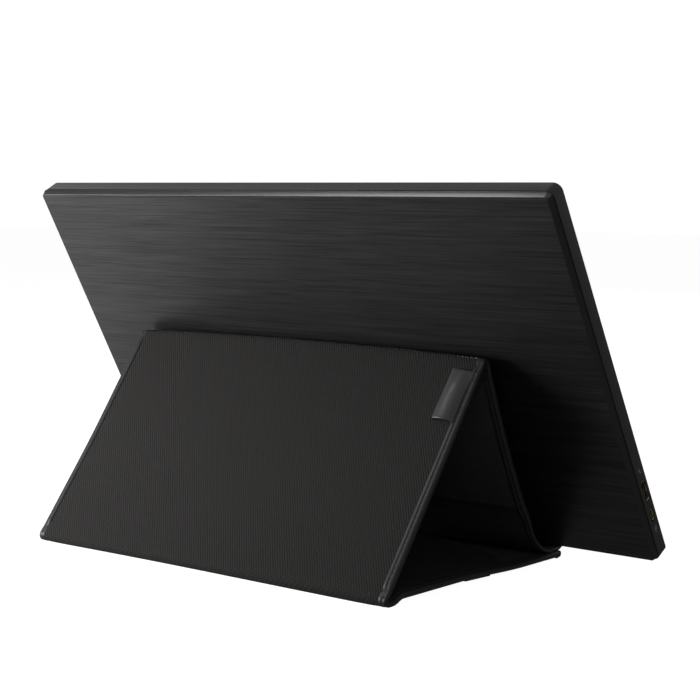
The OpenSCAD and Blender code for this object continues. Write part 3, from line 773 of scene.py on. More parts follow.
# %% Foot strip and loop tab
def rounded_bar(name, low, high, r, n=5):
    """A box with rounded long edges: a rounded rectangle in Y and Z carried along X with rounded ends."""
    low, high = np.asarray(low, float), np.asarray(high, float)
    corners = [((high[1] - r, high[2] - r), 0), ((low[1] + r, high[2] - r), 90),
               ((low[1] + r, low[2] + r), 180), ((high[1] - r, low[2] + r), 270)]
    ring = np.concatenate([arc(c, r, a, a + 90, n) for c, a in corners])
    middle = (low[1:] + high[1:]) / 2
    stops = [(0.0, 0.9), (0.25 * r, 0.45), (r, 0.0)]
    inner = np.linspace(low[0] + r, high[0] - r, 42)[1:-1]
    x = [low[0] + d for d, _ in stops] + list(inner) + [high[0] - d for d, _ in stops[::-1]]
    pull = [p for _, p in stops] + [0.0] * len(inner) + [p for _, p in stops[::-1]]
    size = (high[1:] - low[1:]) / 2
    points = []
    for xi, k in zip(x, pull):
        shrink = (size - k * r) / size
        points.append(np.column_stack([np.full(len(ring), xi), middle + (ring - middle) * shrink]))
    points = np.concatenate(points)
    return add_mesh(name, points, tube_faces(len(x), len(ring)), points[:, :2] * MM, settle=True)


STRIP_X, STRIP_Y, STRIP_TOP = COVER_HALF - 1.0, 11.5, 0.95
strip = rounded_bar("base_foot_strip", (-STRIP_X, -STRIP_Y, 0.0), (STRIP_X, STRIP_Y, STRIP_TOP), 0.4)
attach(strip, "base")
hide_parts("foot_strip")
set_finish(strip, "strip_rubber")

TAB_EDGE, TAB_TOP = 3.6, 7.5               # distance from the cover's edge and from the ridge
TAB_FLAT, TAB_FOLD, TAB_LEN = 7.6, 6.6, 33.2  # width of the flat, reach of the fold, length


def loop_tab():
    """Folded leather. Its section rises from the edge, w across and h off the cloth, over the flat, and
    comes down in a quarter of an ellipse to the cloth. It is carried along the panel with a slight
    wave, its ends are a little thinner, and it is pressed flatter towards the ridge."""
    rise = np.linspace(0, 1, 9)
    top = np.column_stack([rise * TAB_FLAT, 0.95 + 2.5 * np.sin(rise * np.pi / 2)])
    turn = np.radians(np.linspace(85, -8, 14))
    fold = np.column_stack([TAB_FLAT + TAB_FOLD * np.cos(turn), 0.75 + 2.7 * np.sin(turn)])
    low = np.column_stack([np.linspace(TAB_FLAT + TAB_FOLD - 0.5, 0.0, 9), np.linspace(0.25, 0.2, 9)])
    ring = np.concatenate([top, fold, low])
    along = np.r_[0, 0.15, 0.5, np.linspace(1.2, TAB_LEN - 1.2, 26),
                  TAB_LEN - 0.5, TAB_LEN - 0.15, TAB_LEN]
    end = np.minimum(along, TAB_LEN - along)
    thin = 1 - 0.2 * np.exp(-end / 0.3)
    wave = 0.18 * np.sin(along / 5.1 + 0.8)
    flatter = 0.5 + 0.5 * smoothstep((TAB_LEN - along) / 16.0)
    a = BACK_LEN - TAB_TOP - TAB_LEN + along
    w, h = ring[None, :, 0], ring[None, :, 1]
    middle = 1.5
    off = middle + (h - middle) * thin[:, None] + wave[:, None] * (w / (TAB_FLAT + TAB_FOLD))
    off = off * flatter[:, None]
    up = a[:, None] + w / 28.0
    points = np.zeros((len(along), len(ring), 3))
    points[..., 0] = -COVER_HALF + TAB_EDGE + w
    points[..., 1:] = BACK_FOLD + up[..., None] * up_back + (PANEL + 0.15 + off)[..., None] * out_back
    return points.reshape(-1, 3), tube_faces(len(along), len(ring)), uv_grid(w, along[:, None])


tab = add_mesh("loop_tab_leather", *loop_tab(), settle=True)
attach(tab, "back_panel")
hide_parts("loop_tab")
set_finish(tab, "tab_leather")
print("strip and tab made")

# %% [markdown]
# ## The screen's case
#
# The rear cover is a shallow tray whose walls draw in towards the back, with a small round
# all along the rim. It is built from rounded rectangles: each ring has its own inset, depth
# and corner radius, and the rings are joined into one surface. The front bezel is a frame of
# the same kind, from the window's edge over the front and the side walls to the inside.

# %% Rounded rectangles in the screen's own frame


def to_world(local):
    """Screen frame (x, y out of the back, z up the screen) to the part's frame, in millimetres."""
    local = np.asarray(local, float)
    c, s = math.cos(SCREEN_LEAN), math.sin(SCREEN_LEAN)
    return np.stack([local[..., 0] + SCREEN_SHIFT,
                     SCREEN_FOOT[0] + local[..., 1] * c + local[..., 2] * s,
                     SCREEN_FOOT[1] - local[..., 1] * s + local[..., 2] * c], -1)


SIDE_STEPS, CORNER_STEPS = 14, 9  # points along a side and round a corner
CASE_SMOOTH = 35                  # edges sharper than this, in degrees, stay sharp


def rounded_loop(left, right, low, high, r, r_high=None):
    """Points of a rounded rectangle, always the same number, from the lower left corner round.
    r is the radius of the lower corners and, if r_high isn't given, of the upper ones."""
    t = r if r_high is None else r_high
    spots = [((left + r, low + r), r, 180), ((right - r, low + r), r, 270),
             ((right - t, high - t), t, 0), ((left + t, high - t), t, 90)]
    out = []
    for i, (c, radius, a) in enumerate(spots):
        bend = arc(c, radius, a, a + 90, CORNER_STEPS)
        nxt, next_radius, b = spots[(i + 1) % 4]
        first = np.asarray(nxt) + next_radius * np.array([math.cos(math.radians(b)), math.sin(math.radians(b))])
        t_line = np.linspace(0, 1, SIDE_STEPS + 2)[1:-1, None]
        out += [bend, bend[-1] * (1 - t_line) + first * t_line]
    return np.concatenate(out)


def case_loop(inset, depth, corners):
    """A ring of the case: the outline moved in by inset, at a depth from the back face. corners holds the
    outline's radius at its lower and upper corners, from which the inset is taken."""
    low, high = (max(r - 0.8 * inset, 0.35) for r in corners)
    ring = rounded_loop(-SCREEN_W / 2 + inset, SCREEN_W / 2 - inset, inset, SCREEN_H - inset, low, high)
    return np.column_stack([ring[:, 0], np.full(len(ring), depth), ring[:, 1]])


def ringed(loops):
    """Joins rings of points into a closed surface, with a flat face over the first and the last ring."""
    return np.concatenate(loops), tube_faces(len(loops), len(loops[0]))


# %% Rear cover
PARTING = -3.85             # depth of the line between rear cover and bezel
COVER_CORNERS = (2.2, 3.1)  # radius of the lower and the upper corners


def rear_cover_rings():
    """Outer skin from the middle of the back to the parting line, then the inner skin back again."""
    fillet, rim, band_inset, line_at = 0.22, 0.22, 1.5, PARTING
    slope = math.degrees(math.atan2(band_inset - rim - 0.36, 2.7))
    stops = [(3.2, 0.0), (2.5, 0.0)]
    for a in np.radians(np.linspace(90, slope + 1, 6)):
        stops.append((band_inset + fillet - fillet * math.cos(a), -fillet + fillet * math.sin(a)))
    stops += [(rim + 0.36, line_at + 0.92), (rim + 0.28, line_at + 0.84), (rim + 0.04, line_at + 0.6),
              (rim, line_at + 0.5), (rim, line_at + 0.34), (rim + 0.12, line_at + 0.26),
              (1.1, line_at + 0.24), (1.75, line_at + 0.24), (1.9, line_at + 0.5), (2.2, -1.7), (2.6, -1.5)]
    return [case_loop(inset, depth, COVER_CORNERS) for inset, depth in stops]


rear_points, rear_faces = ringed(rear_cover_rings())
rear = add_mesh("screen_back_shell", to_world(rear_points), rear_faces, rear_points[:, [0, 2]] * MM,
                smooth_deg=CASE_SMOOTH)
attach(rear, "screen")
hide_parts("rear_cover")
flat_back = rear.data.attributes.new("flat_back", "FLOAT", "POINT")
flat_back.data.foreach_set("value", (rear_points[:, 1] > -0.001).astype(np.float32))
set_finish(rear, "rear_case")
print("rear shell:", len(rear_points), "points")

# %% Front bezel
WINDOW = (-172.1, 172.1, 24.0, 217.6)
BEZEL_CORNERS = (2.4, 4.7)


def window_loop(grow, depth):
    """A ring round the picture window, moved out by grow."""
    left, right, low, high = WINDOW
    ring = rounded_loop(left - grow, right + grow, low - grow, high + grow, 0.6)
    return np.column_stack([ring[:, 0], np.full(len(ring), depth), ring[:, 1]])


def bezel_rings():
    """Round trip of the frame's section: parting edge, side wall, front round, face, window edge, inside."""
    f, front_round = -SCREEN_T, 0.6
    stops = [(1.1, PARTING - 0.26), (0.06, PARTING - 0.28), (0.0, PARTING - 0.34), (0.0, PARTING - 0.8),
             (0.0, f + front_round)]
    for a in np.radians(np.linspace(15, 90, 6)):
        stops.append((front_round - front_round * math.cos(a), f + front_round - front_round * math.sin(a)))
    rings = [case_loop(inset, depth, BEZEL_CORNERS) for inset, depth in stops + [(1.5, f)]]
    rings += [window_loop(0.8, f), window_loop(0.35, f), window_loop(0.05, f + 0.25),
              window_loop(0.0, f + 0.6), window_loop(0.0, f + 1.18), window_loop(1.2, f + 1.2)]
    rings += [case_loop(inset, depth, BEZEL_CORNERS) for inset, depth in
              ((1.85, f + 1.2), (1.8, f + 1.6), (1.8, PARTING - 0.26))]
    return rings


bezel_loops = bezel_rings()
bezel_points = np.concatenate(bezel_loops)
bezel_faces = grid_quads(len(bezel_loops), len(bezel_loops[0]), wrap_rows=True, wrap_cols=True).tolist()
bezel = add_mesh("screen_front_bezel", to_world(bezel_points), bezel_faces, bezel_points[:, [0, 2]] * MM,
                 smooth_deg=CASE_SMOOTH)
print("bezel rings:", len(bezel_loops))

# %% [markdown]
# ## Holes in the bezel
#
# The sockets open in the left wall, and the button and its light in the front. On the real case
# these are holes in the moulding. Here each hole is a closed shape that is taken away with an
# exact Boolean, because the rings above can't go round a hole.

# %% Outlines and cuts
SOCKET_Y = -8.5              # the sockets' depth from the back face
USB_Z, VIDEO_Z = 43.6, 27.6  # their heights above the screen's lower edge
LEFT = -SCREEN_W / 2
BUTTON_X, BUTTON_Z, BUTTON_R = 176.0, 11.0, 4.0
LIGHT_X = BUTTON_X - 9.0


def slot_outline(length, width, n=8):
    """A rounded slot in Y and Z about its middle."""
    r = width / 2
    h = length / 2 - r
    return np.concatenate([arc((0, h), r, 0, 180, n), arc((0, -h), r, 180, 360, n)])


def notched_outline(length=12.6, wide=3.0, narrow=2.1):
    """The data socket's outline: two rounded lobes, the smaller one set off by a notch on one side."""
    h = length / 2
    knot = -h + 8.0
    pts = [(-wide / 2, -h + 0.6), (-wide / 2 + 0.6, -h), (wide / 2 - 0.35, -h), (wide / 2, -h + 0.35),
           (wide / 2, knot - 1.0), (wide / 2 - 0.25, knot - 0.55), (narrow / 2 - 0.1, knot - 0.2),
           (narrow / 2 - 0.3, knot + 0.15), (narrow / 2 - 0.1, knot + 0.5), (wide / 2 - 0.25, knot + 0.85),
           (wide / 2, knot + 1.25), (wide / 2, h - 0.35), (wide / 2 - 0.35, h), (-wide / 2 + 0.6, h),
           (-wide / 2, h - 0.6)]
    return resampled(np.array(pts + pts[:1], float), 64)[:-1]


def prism(outline, start, end, axis=0):
    """A closed prism along an axis, from start to end, over an outline in the other two axes."""
    ends = [np.insert(outline, axis, at, axis=1) for at in (start, end)]
    return np.concatenate(ends), tube_faces(2, len(outline))


def cut(piece, points, faces, name):
    """Takes a closed shape away from a piece with an exact Boolean, and leaves a plain mesh."""
    tool = add_mesh(name, to_world(points), faces)
    change = piece.modifiers.new("cut", "BOOLEAN")
    change.object, change.operation, change.solver = tool, "DIFFERENCE", "EXACT"
    shaped = bpy.data.meshes.new_from_object(piece.evaluated_get(bpy.context.evaluated_depsgraph_get()))
    piece.modifiers.clear()
    old, piece.data = piece.data, shaped
    bpy.data.meshes.remove(old)
    bpy.data.objects.remove(tool)


def disc(radius, n=40):
    """n points round a circle about 0."""
    a = np.arange(n) / n * 2 * np.pi
    return np.stack([radius * np.cos(a), radius * np.sin(a)], -1)


for outline, spot, name in ((slot_outline(14.4, 4.4), (SOCKET_Y, USB_Z), "cut_data"),
                            (slot_outline(8.9, 4.2), (SOCKET_Y, VIDEO_Z), "cut_video")):
    cut(bezel, *prism(outline + spot, LEFT - 1, LEFT + 3), name)
for radius, x, name in ((BUTTON_R + 0.25, BUTTON_X, "cut_button"), (1.02, LIGHT_X, "cut_light")):
    cut(bezel, *prism(disc(radius) + (x, BUTTON_Z), -SCREEN_T - 1, -SCREEN_T + 2, axis=1), name)
bezel.data.set_sharp_from_angle(angle=math.radians(CASE_SMOOTH))
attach(bezel, "screen")
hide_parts("front_bezel")
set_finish(bezel, "bezel_plastic")
print("bezel:", len(bezel.data.polygons), "faces")

# %% [markdown]
# ## Sockets, button and printed marks
#
# A socket is a thin metal shell with a flared mouth and a tongue inside. The wide one has the
# notch of its kind. The small marks beside them are plain printed bars.

# %% Sockets


def socket_shell(outline, depth, wall=0.3):
    """A drawn metal shell: outer skin from a rounded lip to the closed back, then the inner skin back to
    the lip. Each stop is the distance out from the outline and the distance in from the case's wall."""
    away = outline - outline.mean(0)
    away /= np.hypot(*away.T)[:, None]
    stops = [(0.04, 0.06), (0.10, 0.16), (0.06, 0.4), (0.0, 0.8), (0.0, depth),
             (-wall, depth - 0.1), (-wall, 0.6), (-wall + 0.04, 0.2), (-wall * 0.6, 0.06)]
    rings = [np.column_stack([np.full(len(outline), LEFT + d), outline + away * g]) for g, d in stops]
    cols, back = len(outline), 4
    quads = grid_quads(len(rings), cols, wrap_rows=True, wrap_cols=True)
    quads = quads[quads[:, 0] // cols != back]
    faces = quads.tolist() + [list(range(back * cols, (back + 1) * cols))[::-1],
                              list(range((back + 1) * cols, (back + 2) * cols))]
    points = np.concatenate(rings)
    return to_world(points), faces, points[:, 1:] * MM


video_corners = [(-1.2, -3.4), (0.6, -3.4), (1.2, -2.5), (1.2, 2.5), (0.6, 3.4), (-1.2, 3.4), (-1.2, -3.4)]
video_outline = resampled(np.array(video_corners, float), 49)[:-1]


def placed_shell(outline, height, depth):
    """A shell at its socket's height, with its faces turned outwards."""
    points, faces, uv = socket_shell(outline + (SOCKET_Y, height), depth)
    return points, outward(points, faces), uv


def slot_bars(bars, start, end):
    """Rounded bars on or in the left wall, as one mesh. A bar is (y, z, length, width) of its slot shape,
    and start and end are its depths in from the wall; a bar may bring its own end."""
    parts = []
    for y, z, length, width, *own_end in bars:
        p, f = prism(slot_outline(length, width, 4) + (y, z), LEFT + start, LEFT + (own_end or [end])[0])
        p = to_world(p)
        parts.append((p, outward(p, f), np.zeros((len(p), 2))))
    return joined(parts)


data_shell = add_mesh("data_socket_shell", *placed_shell(notched_outline(), USB_Z, 7.0), closed=False)
video_shell = add_mesh("video_socket_shell", *placed_shell(video_outline, VIDEO_Z, 8.2), closed=False)
tongue_bars = [(SOCKET_Y, USB_Z - 1.9, 6.6, 0.7), (SOCKET_Y, USB_Z + 4.1, 2.6, 0.7),
               (SOCKET_Y, VIDEO_Z, 4.6, 0.7, 7.8)]
tongues = add_mesh("socket_tongues", *slot_bars(tongue_bars, 1.2, 6.6), closed=False)
for piece, slot in ((data_shell, "socket_metal"), (video_shell, "socket_metal"), (tongues, "button_plastic")):
    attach(piece, "screen")
    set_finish(piece, slot)
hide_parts("usb_receptacle")
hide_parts("video_receptacle")
print("sockets made")

# %% Button, light and marks


def turned_plug(stops, x):
    """A round piece about the screen's depth direction, at the button's height: rings of (radius, depth
    behind the screen's face)."""
    return ringed([np.insert(disc(r, 48) + (x, BUTTON_Z), 1, -SCREEN_T + d, axis=1) for r, d in stops])


button_points, button_faces = turned_plug(
    [(2.6, -0.66), (3.0, -0.7), (3.45, -0.8), (3.75, -0.76), (3.95, -0.6), (4.0, -0.35),
     (4.0, 1.3), (5.2, 1.3), (5.2, 2.0)], BUTTON_X)
button = add_mesh("power_button_cap", to_world(button_points), button_faces)
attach(button, "power_button")
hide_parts("power_button")
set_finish(button, "button_plastic")

lens_points, lens_faces = turned_plug([(0.7, -0.05), (0.9, 0.02), (1.0, 0.2), (1.0, 2.8)], LIGHT_X)
lens = add_mesh("power_light_lens", to_world(lens_points), lens_faces)
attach(lens, "screen")
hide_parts("light_pipe")
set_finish(lens, "clear_acrylic")


mark_bars = [(SOCKET_Y + 0.0, 56.9, 3.2, 0.55), (SOCKET_Y - 0.7, 55.6, 1.0, 0.45),
             (SOCKET_Y + 0.7, 57.6, 1.0, 0.45), (SOCKET_Y + 0.6, 17.6, 3.6, 0.6),
             (SOCKET_Y - 0.5, 18.4, 3.6, 0.6)]
marks = add_mesh("printed_marks", *slot_bars(mark_bars, -0.03, 0.05), closed=False)
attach(marks, "screen")
print("button, light and marks made")

# %% [markdown]
# ## Shared material parts
#
# A weave, a leather grain and a brushed surface are made once and used by several materials.
# Each is a node group with named sockets that puts out only values, so that the shader itself
# stays in the material.

# %% Node group helpers


def new_group(name, inputs, outputs):
    """An empty shader group with float or vector sockets and their default values."""
    group = bpy.data.node_groups.new(name, "ShaderNodeTree")
    for label, kind, value in inputs:
        socket = group.interface.new_socket(label, in_out="INPUT", socket_type=kind)
        if value is not None:
            socket.default_value = value
    for label, kind in outputs:
        group.interface.new_socket(label, in_out="OUTPUT", socket_type=kind)
    return group, group.nodes.new("NodeGroupInput"), group.nodes.new("NodeGroupOutput")


def node(tree, kind, **settings):
    """Adds a node. A setting that names an input socket is linked or set, others are properties."""
    made = tree.nodes.new(kind)
    for key, value in settings.items():
        if key.startswith("in_"):
            socket = made.inputs[int(key[3:])] if key[3:].isdigit() else made.inputs[key[3:].replace("_", " ")]
            if isinstance(value, bpy.types.NodeSocket):
                tree.links.new(value, socket)
            else:
                socket.default_value = value
        else:
            setattr(made, key, value)
    return made


def maths(tree, operation, a, b=None, c=None):
    """One Math node; numbers and sockets both work as inputs."""
    settings = {f"in_{i}": v for i, v in enumerate((a, b, c)) if v is not None}
    return node(tree, "ShaderNodeMath", operation=operation, **settings).outputs[0]


# %% Weave, grain and brushed groups
HEIGHT_AND_SHADE = [("Height", "NodeSocketFloat"), ("Shade", "NodeSocketFloat")]


def weave_group():
    """Woven cloth. Columns |sin(pi u / pitch)| carry dashes 0.5 + 0.5 sin(2 pi v / dash), which shift by
    half from one column to the next. Lean slants the columns, and fine noise roughens the threads."""
    group, given, out = new_group("woven threads", [
        ("Vector", "NodeSocketVector", None), ("Pitch", "NodeSocketFloat", 0.0017),
        ("Dash", "NodeSocketFloat", 0.0036), ("Lean", "NodeSocketFloat", -0.46)], HEIGHT_AND_SHADE)
    t = group
    split = node(t, "ShaderNodeSeparateXYZ", in_0=given.outputs["Vector"])
    u = maths(t, "ADD", split.outputs[0], maths(t, "MULTIPLY", split.outputs[1], given.outputs["Lean"]))
    column = maths(t, "DIVIDE", u, given.outputs["Pitch"])
    parity = maths(t, "FLOOR", column)
    ribs = maths(t, "ABSOLUTE", maths(t, "SINE", maths(t, "MULTIPLY", column, math.pi)))
    row = maths(t, "DIVIDE", split.outputs[1], given.outputs["Dash"])
    shifted = maths(t, "ADD", row, maths(t, "MULTIPLY", parity, 0.5))
    dash = maths(t, "MULTIPLY_ADD", maths(t, "SINE", maths(t, "MULTIPLY", shifted, 2 * math.pi)), 0.5, 0.5)
    fuzz = node(t, "ShaderNodeTexNoise", in_Vector=given.outputs["Vector"], in_Scale=420.0,
                in_Detail=3.0, in_Roughness=0.6)
    mixed = maths(t, "MULTIPLY", ribs, maths(t, "MULTIPLY_ADD", dash, 0.6, 0.4))
    height = maths(t, "ADD", mixed, maths(t, "MULTIPLY", fuzz.outputs[0], 0.35))
    t.links.new(height, out.inputs["Height"])
    # Shade follows the height, so the hollows between the threads darken: painted shade in the gaps, with the fuzz
    # noise as random tone
    t.links.new(maths(t, "MULTIPLY_ADD", height, 0.75, 0.35), out.inputs["Shade"])
    return group


def grain_group():
    """Leather grain: cells of a Voronoi pattern with fine noise on top."""
    group, given, out = new_group("leather grain", [
        ("Vector", "NodeSocketVector", None), ("Scale", "NodeSocketFloat", 900.0)], HEIGHT_AND_SHADE)
    t = group
    cells = node(t, "ShaderNodeTexVoronoi", feature="DISTANCE_TO_EDGE",
                 in_Vector=given.outputs["Vector"], in_Scale=given.outputs["Scale"])
    fine = node(t, "ShaderNodeTexNoise", in_Vector=given.outputs["Vector"], in_Scale=1800.0, in_Detail=4.0)
    wide = node(t, "ShaderNodeTexNoise", in_Vector=given.outputs["Vector"], in_Scale=60.0, in_Detail=3.0)
    height = maths(t, "ADD", maths(t, "MINIMUM", cells.outputs[0], 0.25),
                   maths(t, "MULTIPLY", fine.outputs[0], 0.18))
    t.links.new(height, out.inputs["Height"])
    t.links.new(maths(t, "MULTIPLY_ADD", wide.outputs[0], 0.5, 0.75), out.inputs["Shade"])
    return group


def brushed_group():
    """Fine lines along X: three layers of noise whose coordinates are squeezed across the lines."""
    group, given, out = new_group("brushed lines", [("Vector", "NodeSocketVector", None)], HEIGHT_AND_SHADE)
    t = group
    layers = []
    for along, across, detail in ((14.0, 1700.0, 2.0), (24.0, 1000.0, 2.0), (4.0, 300.0, 4.0)):
        scaled = node(t, "ShaderNodeMapping", vector_type="POINT", in_Vector=given.outputs["Vector"])
        scaled.inputs["Scale"].default_value = (along, across, across)
        noise = node(t, "ShaderNodeTexNoise", in_Vector=scaled.outputs[0], in_Scale=1.0,
                     in_Detail=detail, in_Roughness=0.65)
        layers.append(noise.outputs[0])
    coarse = maths(t, "MULTIPLY_ADD", layers[1], 0.3, maths(t, "MULTIPLY", layers[2], 0.25))
    fine = maths(t, "MULTIPLY_ADD", layers[0], 0.45, coarse)
    t.links.new(fine, out.inputs["Height"])
    strong = node(t, "ShaderNodeMath", operation="MULTIPLY_ADD", in_0=fine, in_1=3.2, in_2=-1.25, use_clamp=True)
    t.links.new(strong.outputs[0], out.inputs["Shade"])
    return group


weave, grain, brushed = weave_group(), grain_group(), brushed_group()
print("groups:", [g.name for g in (weave, grain, brushed)])

# %% [markdown]
# ## Materials
#
# The object is all near black, so the finishes tell its pieces apart: a dry weave that
# scatters light, leather with a soft gleam on its bead, and a brushed case that is mostly
# metallic and mirrors the pale floor in long streaks. Colours are low, as such dyes are.

# %% Material builder


def new_material(name, colour, rough, spec=0.5, metal=0.0):
    """A Principled material with its uniform numbers on the shader's own sockets."""
    material = bpy.data.materials.new(name)
    material.use_nodes = True
    tree = material.node_tree
    shader = tree.nodes["Principled BSDF"]
    shader.inputs["Base Color"].default_value = (*colour, 1)
    shader.inputs["Roughness"].default_value = rough
    shader.inputs["Specular IOR Level"].default_value = spec
    shader.inputs["Metallic"].default_value = metal
    return material, tree, shader


def tinted(tree, shader, low, high, factor):
    """Colour that runs from low to high with a factor."""
    mix = node(tree, "ShaderNodeMix", data_type="RGBA", in_0=factor)
    mix.inputs[6].default_value = (*low, 1)
    mix.inputs[7].default_value = (*high, 1)
    tree.links.new(mix.outputs[2], shader.inputs["Base Color"])
    return mix


def bumped(tree, shader, height, strength, distance):
    """Relief from a height, in metres."""
    bump = node(tree, "ShaderNodeBump", in_Strength=strength, in_Distance=distance, in_Height=height)
    tree.links.new(bump.outputs[0], shader.inputs["Normal"])
    return bump


def spread(tree, shader, factor, low, high):
    """Roughness between two values."""
    tree.links.new(maths(tree, "MULTIPLY_ADD", factor, high - low, low), shader.inputs["Roughness"])


def woven(name, low, high, pitch, dash, bump, lean=-0.46, rough=0.9):
    """Cloth on the piece's own UV. low and high are the colours between and on the threads; the dark low colour in
    the hollows is painted shade.
    """
    material, tree, shader = new_material(name, high, rough, spec=0.15)
    place = node(tree, "ShaderNodeUVMap", uv_map="cloth").outputs[0]
    threads = node(tree, "ShaderNodeGroup", node_tree=weave, in_Vector=place)
    threads.inputs["Pitch"].default_value = pitch
    threads.inputs["Dash"].default_value = dash
    threads.inputs["Lean"].default_value = lean
    tinted(tree, shader, low, high, threads.outputs["Shade"])
    bumped(tree, shader, threads.outputs["Height"], 1.0, bump)
    return material


def grained(name, low, high, rough, scale=900.0, bump=0.00006, spec=0.5):
    """Leather or moulded grain on object coordinates."""
    material, tree, shader = new_material(name, high, rough, spec=spec)
    place = node(tree, "ShaderNodeTexCoord").outputs["Object"]
    cells = node(tree, "ShaderNodeGroup", node_tree=grain, in_Vector=place)
    cells.inputs["Scale"].default_value = scale
    tinted(tree, shader, low, high, cells.outputs["Shade"])
    spread(tree, shader, cells.outputs["Shade"], rough + 0.1, rough - 0.08)
    bumped(tree, shader, cells.outputs["Height"], 0.7, bump)
    return material


# Each cloth's low colour is painted shade between its threads
outer_cloth = woven("outer cloth", (0.0040, 0.0038, 0.0036), (0.0300, 0.0288, 0.0279), 0.00175, 0.0021,
                    0.00030, lean=-0.56)
lining_cloth = woven("lining cloth", (0.016, 0.016, 0.016), (0.062, 0.0614, 0.0605), 0.0012, 0.0016, 0.00020)
overlay_cloth = woven("overlay cloth", (0.008, 0.008, 0.008), (0.040, 0.0396, 0.039), 0.0011, 0.0016, 0.00020)
band_cloth = woven("band cloth", (0.007, 0.007, 0.007), (0.040, 0.0396, 0.039), 0.0016, 0.0013, 0.00030, lean=0.0)
leather = grained("edge leather", (0.009, 0.009, 0.009), (0.016, 0.016, 0.016), 0.58, spec=0.4)
tab_skin = grained("tab leather", (0.009, 0.009, 0.009), (0.016, 0.016, 0.016), 0.50, scale=700.0)
thread = grained("thread", (0.030, 0.030, 0.030), (0.060, 0.060, 0.060), 0.6, scale=2500.0)
ridge_thread = grained("ridge thread", (0.09, 0.088, 0.085), (0.16, 0.157, 0.15), 0.6, scale=2500.0)
rubber = grained("strip rubber", (0.012, 0.012, 0.012), (0.018, 0.018, 0.018), 0.75, scale=500.0)
plastic = grained("case plastic", (0.010, 0.010, 0.0103), (0.014, 0.014, 0.0143), 0.40, scale=3200.0, bump=0.00001)

case_back, tree, shader = new_material("brushed case back", (0.05, 0.05, 0.0505), 0.37, spec=0.5, metal=0.8)
place = node(tree, "ShaderNodeUVMap", uv_map="cloth").outputs[0]
lines = node(tree, "ShaderNodeGroup", node_tree=brushed, in_Vector=place)
flat = node(tree, "ShaderNodeAttribute", attribute_name="flat_back").outputs["Fac"]
shade = maths(tree, "MULTIPLY_ADD", maths(tree, "SUBTRACT", lines.outputs["Shade"], 0.4), flat, 0.4)
tinted(tree, shader, (0.032, 0.032, 0.032), (0.088, 0.088, 0.089), shade)
spread(tree, shader, shade, 0.34, 0.40)
bumped(tree, shader, maths(tree, "MULTIPLY", lines.outputs["Height"], flat), 0.4, 0.00003)

glass, tree, shader = new_material("display face", (0.006, 0.006, 0.007), 0.22, spec=0.5)
place = node(tree, "ShaderNodeTexCoord").outputs["Object"]
haze = node(tree, "ShaderNodeTexNoise", in_Vector=place, in_Scale=2400.0, in_Detail=2.0)
spread(tree, shader, haze.outputs[0], 0.20, 0.34)
tinted(tree, shader, (0.004, 0.004, 0.005), (0.009, 0.009, 0.010), haze.outputs[0])

gold, tree, shader = new_material("pale gold plate", (0.72, 0.60, 0.40), 0.28, metal=1.0)
place = node(tree, "ShaderNodeTexCoord").outputs["Object"]
rub = node(tree, "ShaderNodeTexNoise", in_Vector=place, in_Scale=900.0, in_Detail=3.0)
spread(tree, shader, rub.outputs[0], 0.18, 0.42)
tinted(tree, shader, (0.60, 0.50, 0.34), (0.80, 0.70, 0.50), rub.outputs[0])
print("main materials made")


# %% Materials of the hidden parts
def speckled(name, low, high, rough, metal=0.0, scale=400.0, spec=0.5):
    """A plain finish with fine unevenness in colour and gloss."""
    material, tree, shader = new_material(name, high, rough, metal=metal, spec=spec)
    place = node(tree, "ShaderNodeTexCoord").outputs["Object"]
    spots = node(tree, "ShaderNodeTexNoise", in_Vector=place, in_Scale=scale, in_Detail=4.0)
    tinted(tree, shader, low, high, spots.outputs[0])
    spread(tree, shader, spots.outputs[0], rough - 0.06, rough + 0.08)
    return material


by_slot = {
    "white_film": speckled("white film", (0.75, 0.75, 0.75), (0.85, 0.85, 0.85), 0.5),
    "clear_acrylic": speckled("light acrylic", (0.7, 0.73, 0.75), (0.82, 0.85, 0.87), 0.15),
    "white_plastic": speckled("white plastic", (0.7, 0.7, 0.68), (0.8, 0.8, 0.78), 0.45),
    "tray_steel": speckled("tray steel", (0.45, 0.46, 0.47), (0.6, 0.61, 0.62), 0.35, metal=1.0),
    "led_yellow": speckled("lamp strip", (0.8, 0.7, 0.35), (0.9, 0.82, 0.45), 0.4),
    "board_green": speckled("circuit board", (0.012, 0.1, 0.045), (0.02, 0.16, 0.07), 0.35),
    "chip_black": speckled("chip", (0.02, 0.02, 0.02), (0.035, 0.035, 0.035), 0.5),
    "can_steel": speckled("shield steel", (0.55, 0.56, 0.57), (0.68, 0.69, 0.7), 0.3, metal=1.0),
    "cable_film": speckled("amber film", (0.4, 0.2, 0.05), (0.55, 0.3, 0.08), 0.3),
    "screw_steel": speckled("screw steel", (0.5, 0.5, 0.52), (0.65, 0.65, 0.67), 0.3, metal=1.0),
    "stiffening_board": speckled("pressed board", (0.22, 0.19, 0.15), (0.32, 0.29, 0.24), 0.8, scale=900.0),
    "button_plastic": plastic, "display_glass": glass, "rear_case": case_back, "bezel_plastic": plastic,
    "socket_metal": gold, "outer_fabric": outer_cloth, "lining_fabric": lining_cloth,
    "overlay_fabric": overlay_cloth, "band_fabric": band_cloth, "binding_leather": leather,
    "tab_leather": tab_skin, "strip_rubber": rubber,
}
mark_ink = speckled("grey print", (0.30, 0.30, 0.30), (0.42, 0.42, 0.42), 0.6, scale=2000.0)
slot_of = {row["node"]: row["material_slot"] for row in frame["record"]["subparts"]}


def paint(piece, material):
    """Puts one material on a piece."""
    piece.data.materials.clear()
    piece.data.materials.append(material)


for name, piece in frame["nodes"].items():
    paint(piece, by_slot[slot_of[name]])
for piece in list(bpy.context.scene.objects):
    if piece.type == "MESH" and "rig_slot" in piece:
        paint(piece, by_slot[piece["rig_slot"]])
for piece in threads:
    paint(piece, ridge_thread if piece is thread_ridge else thread)
paint(marks, mark_ink)
print("painted", len(frame["nodes"]), "nodes")
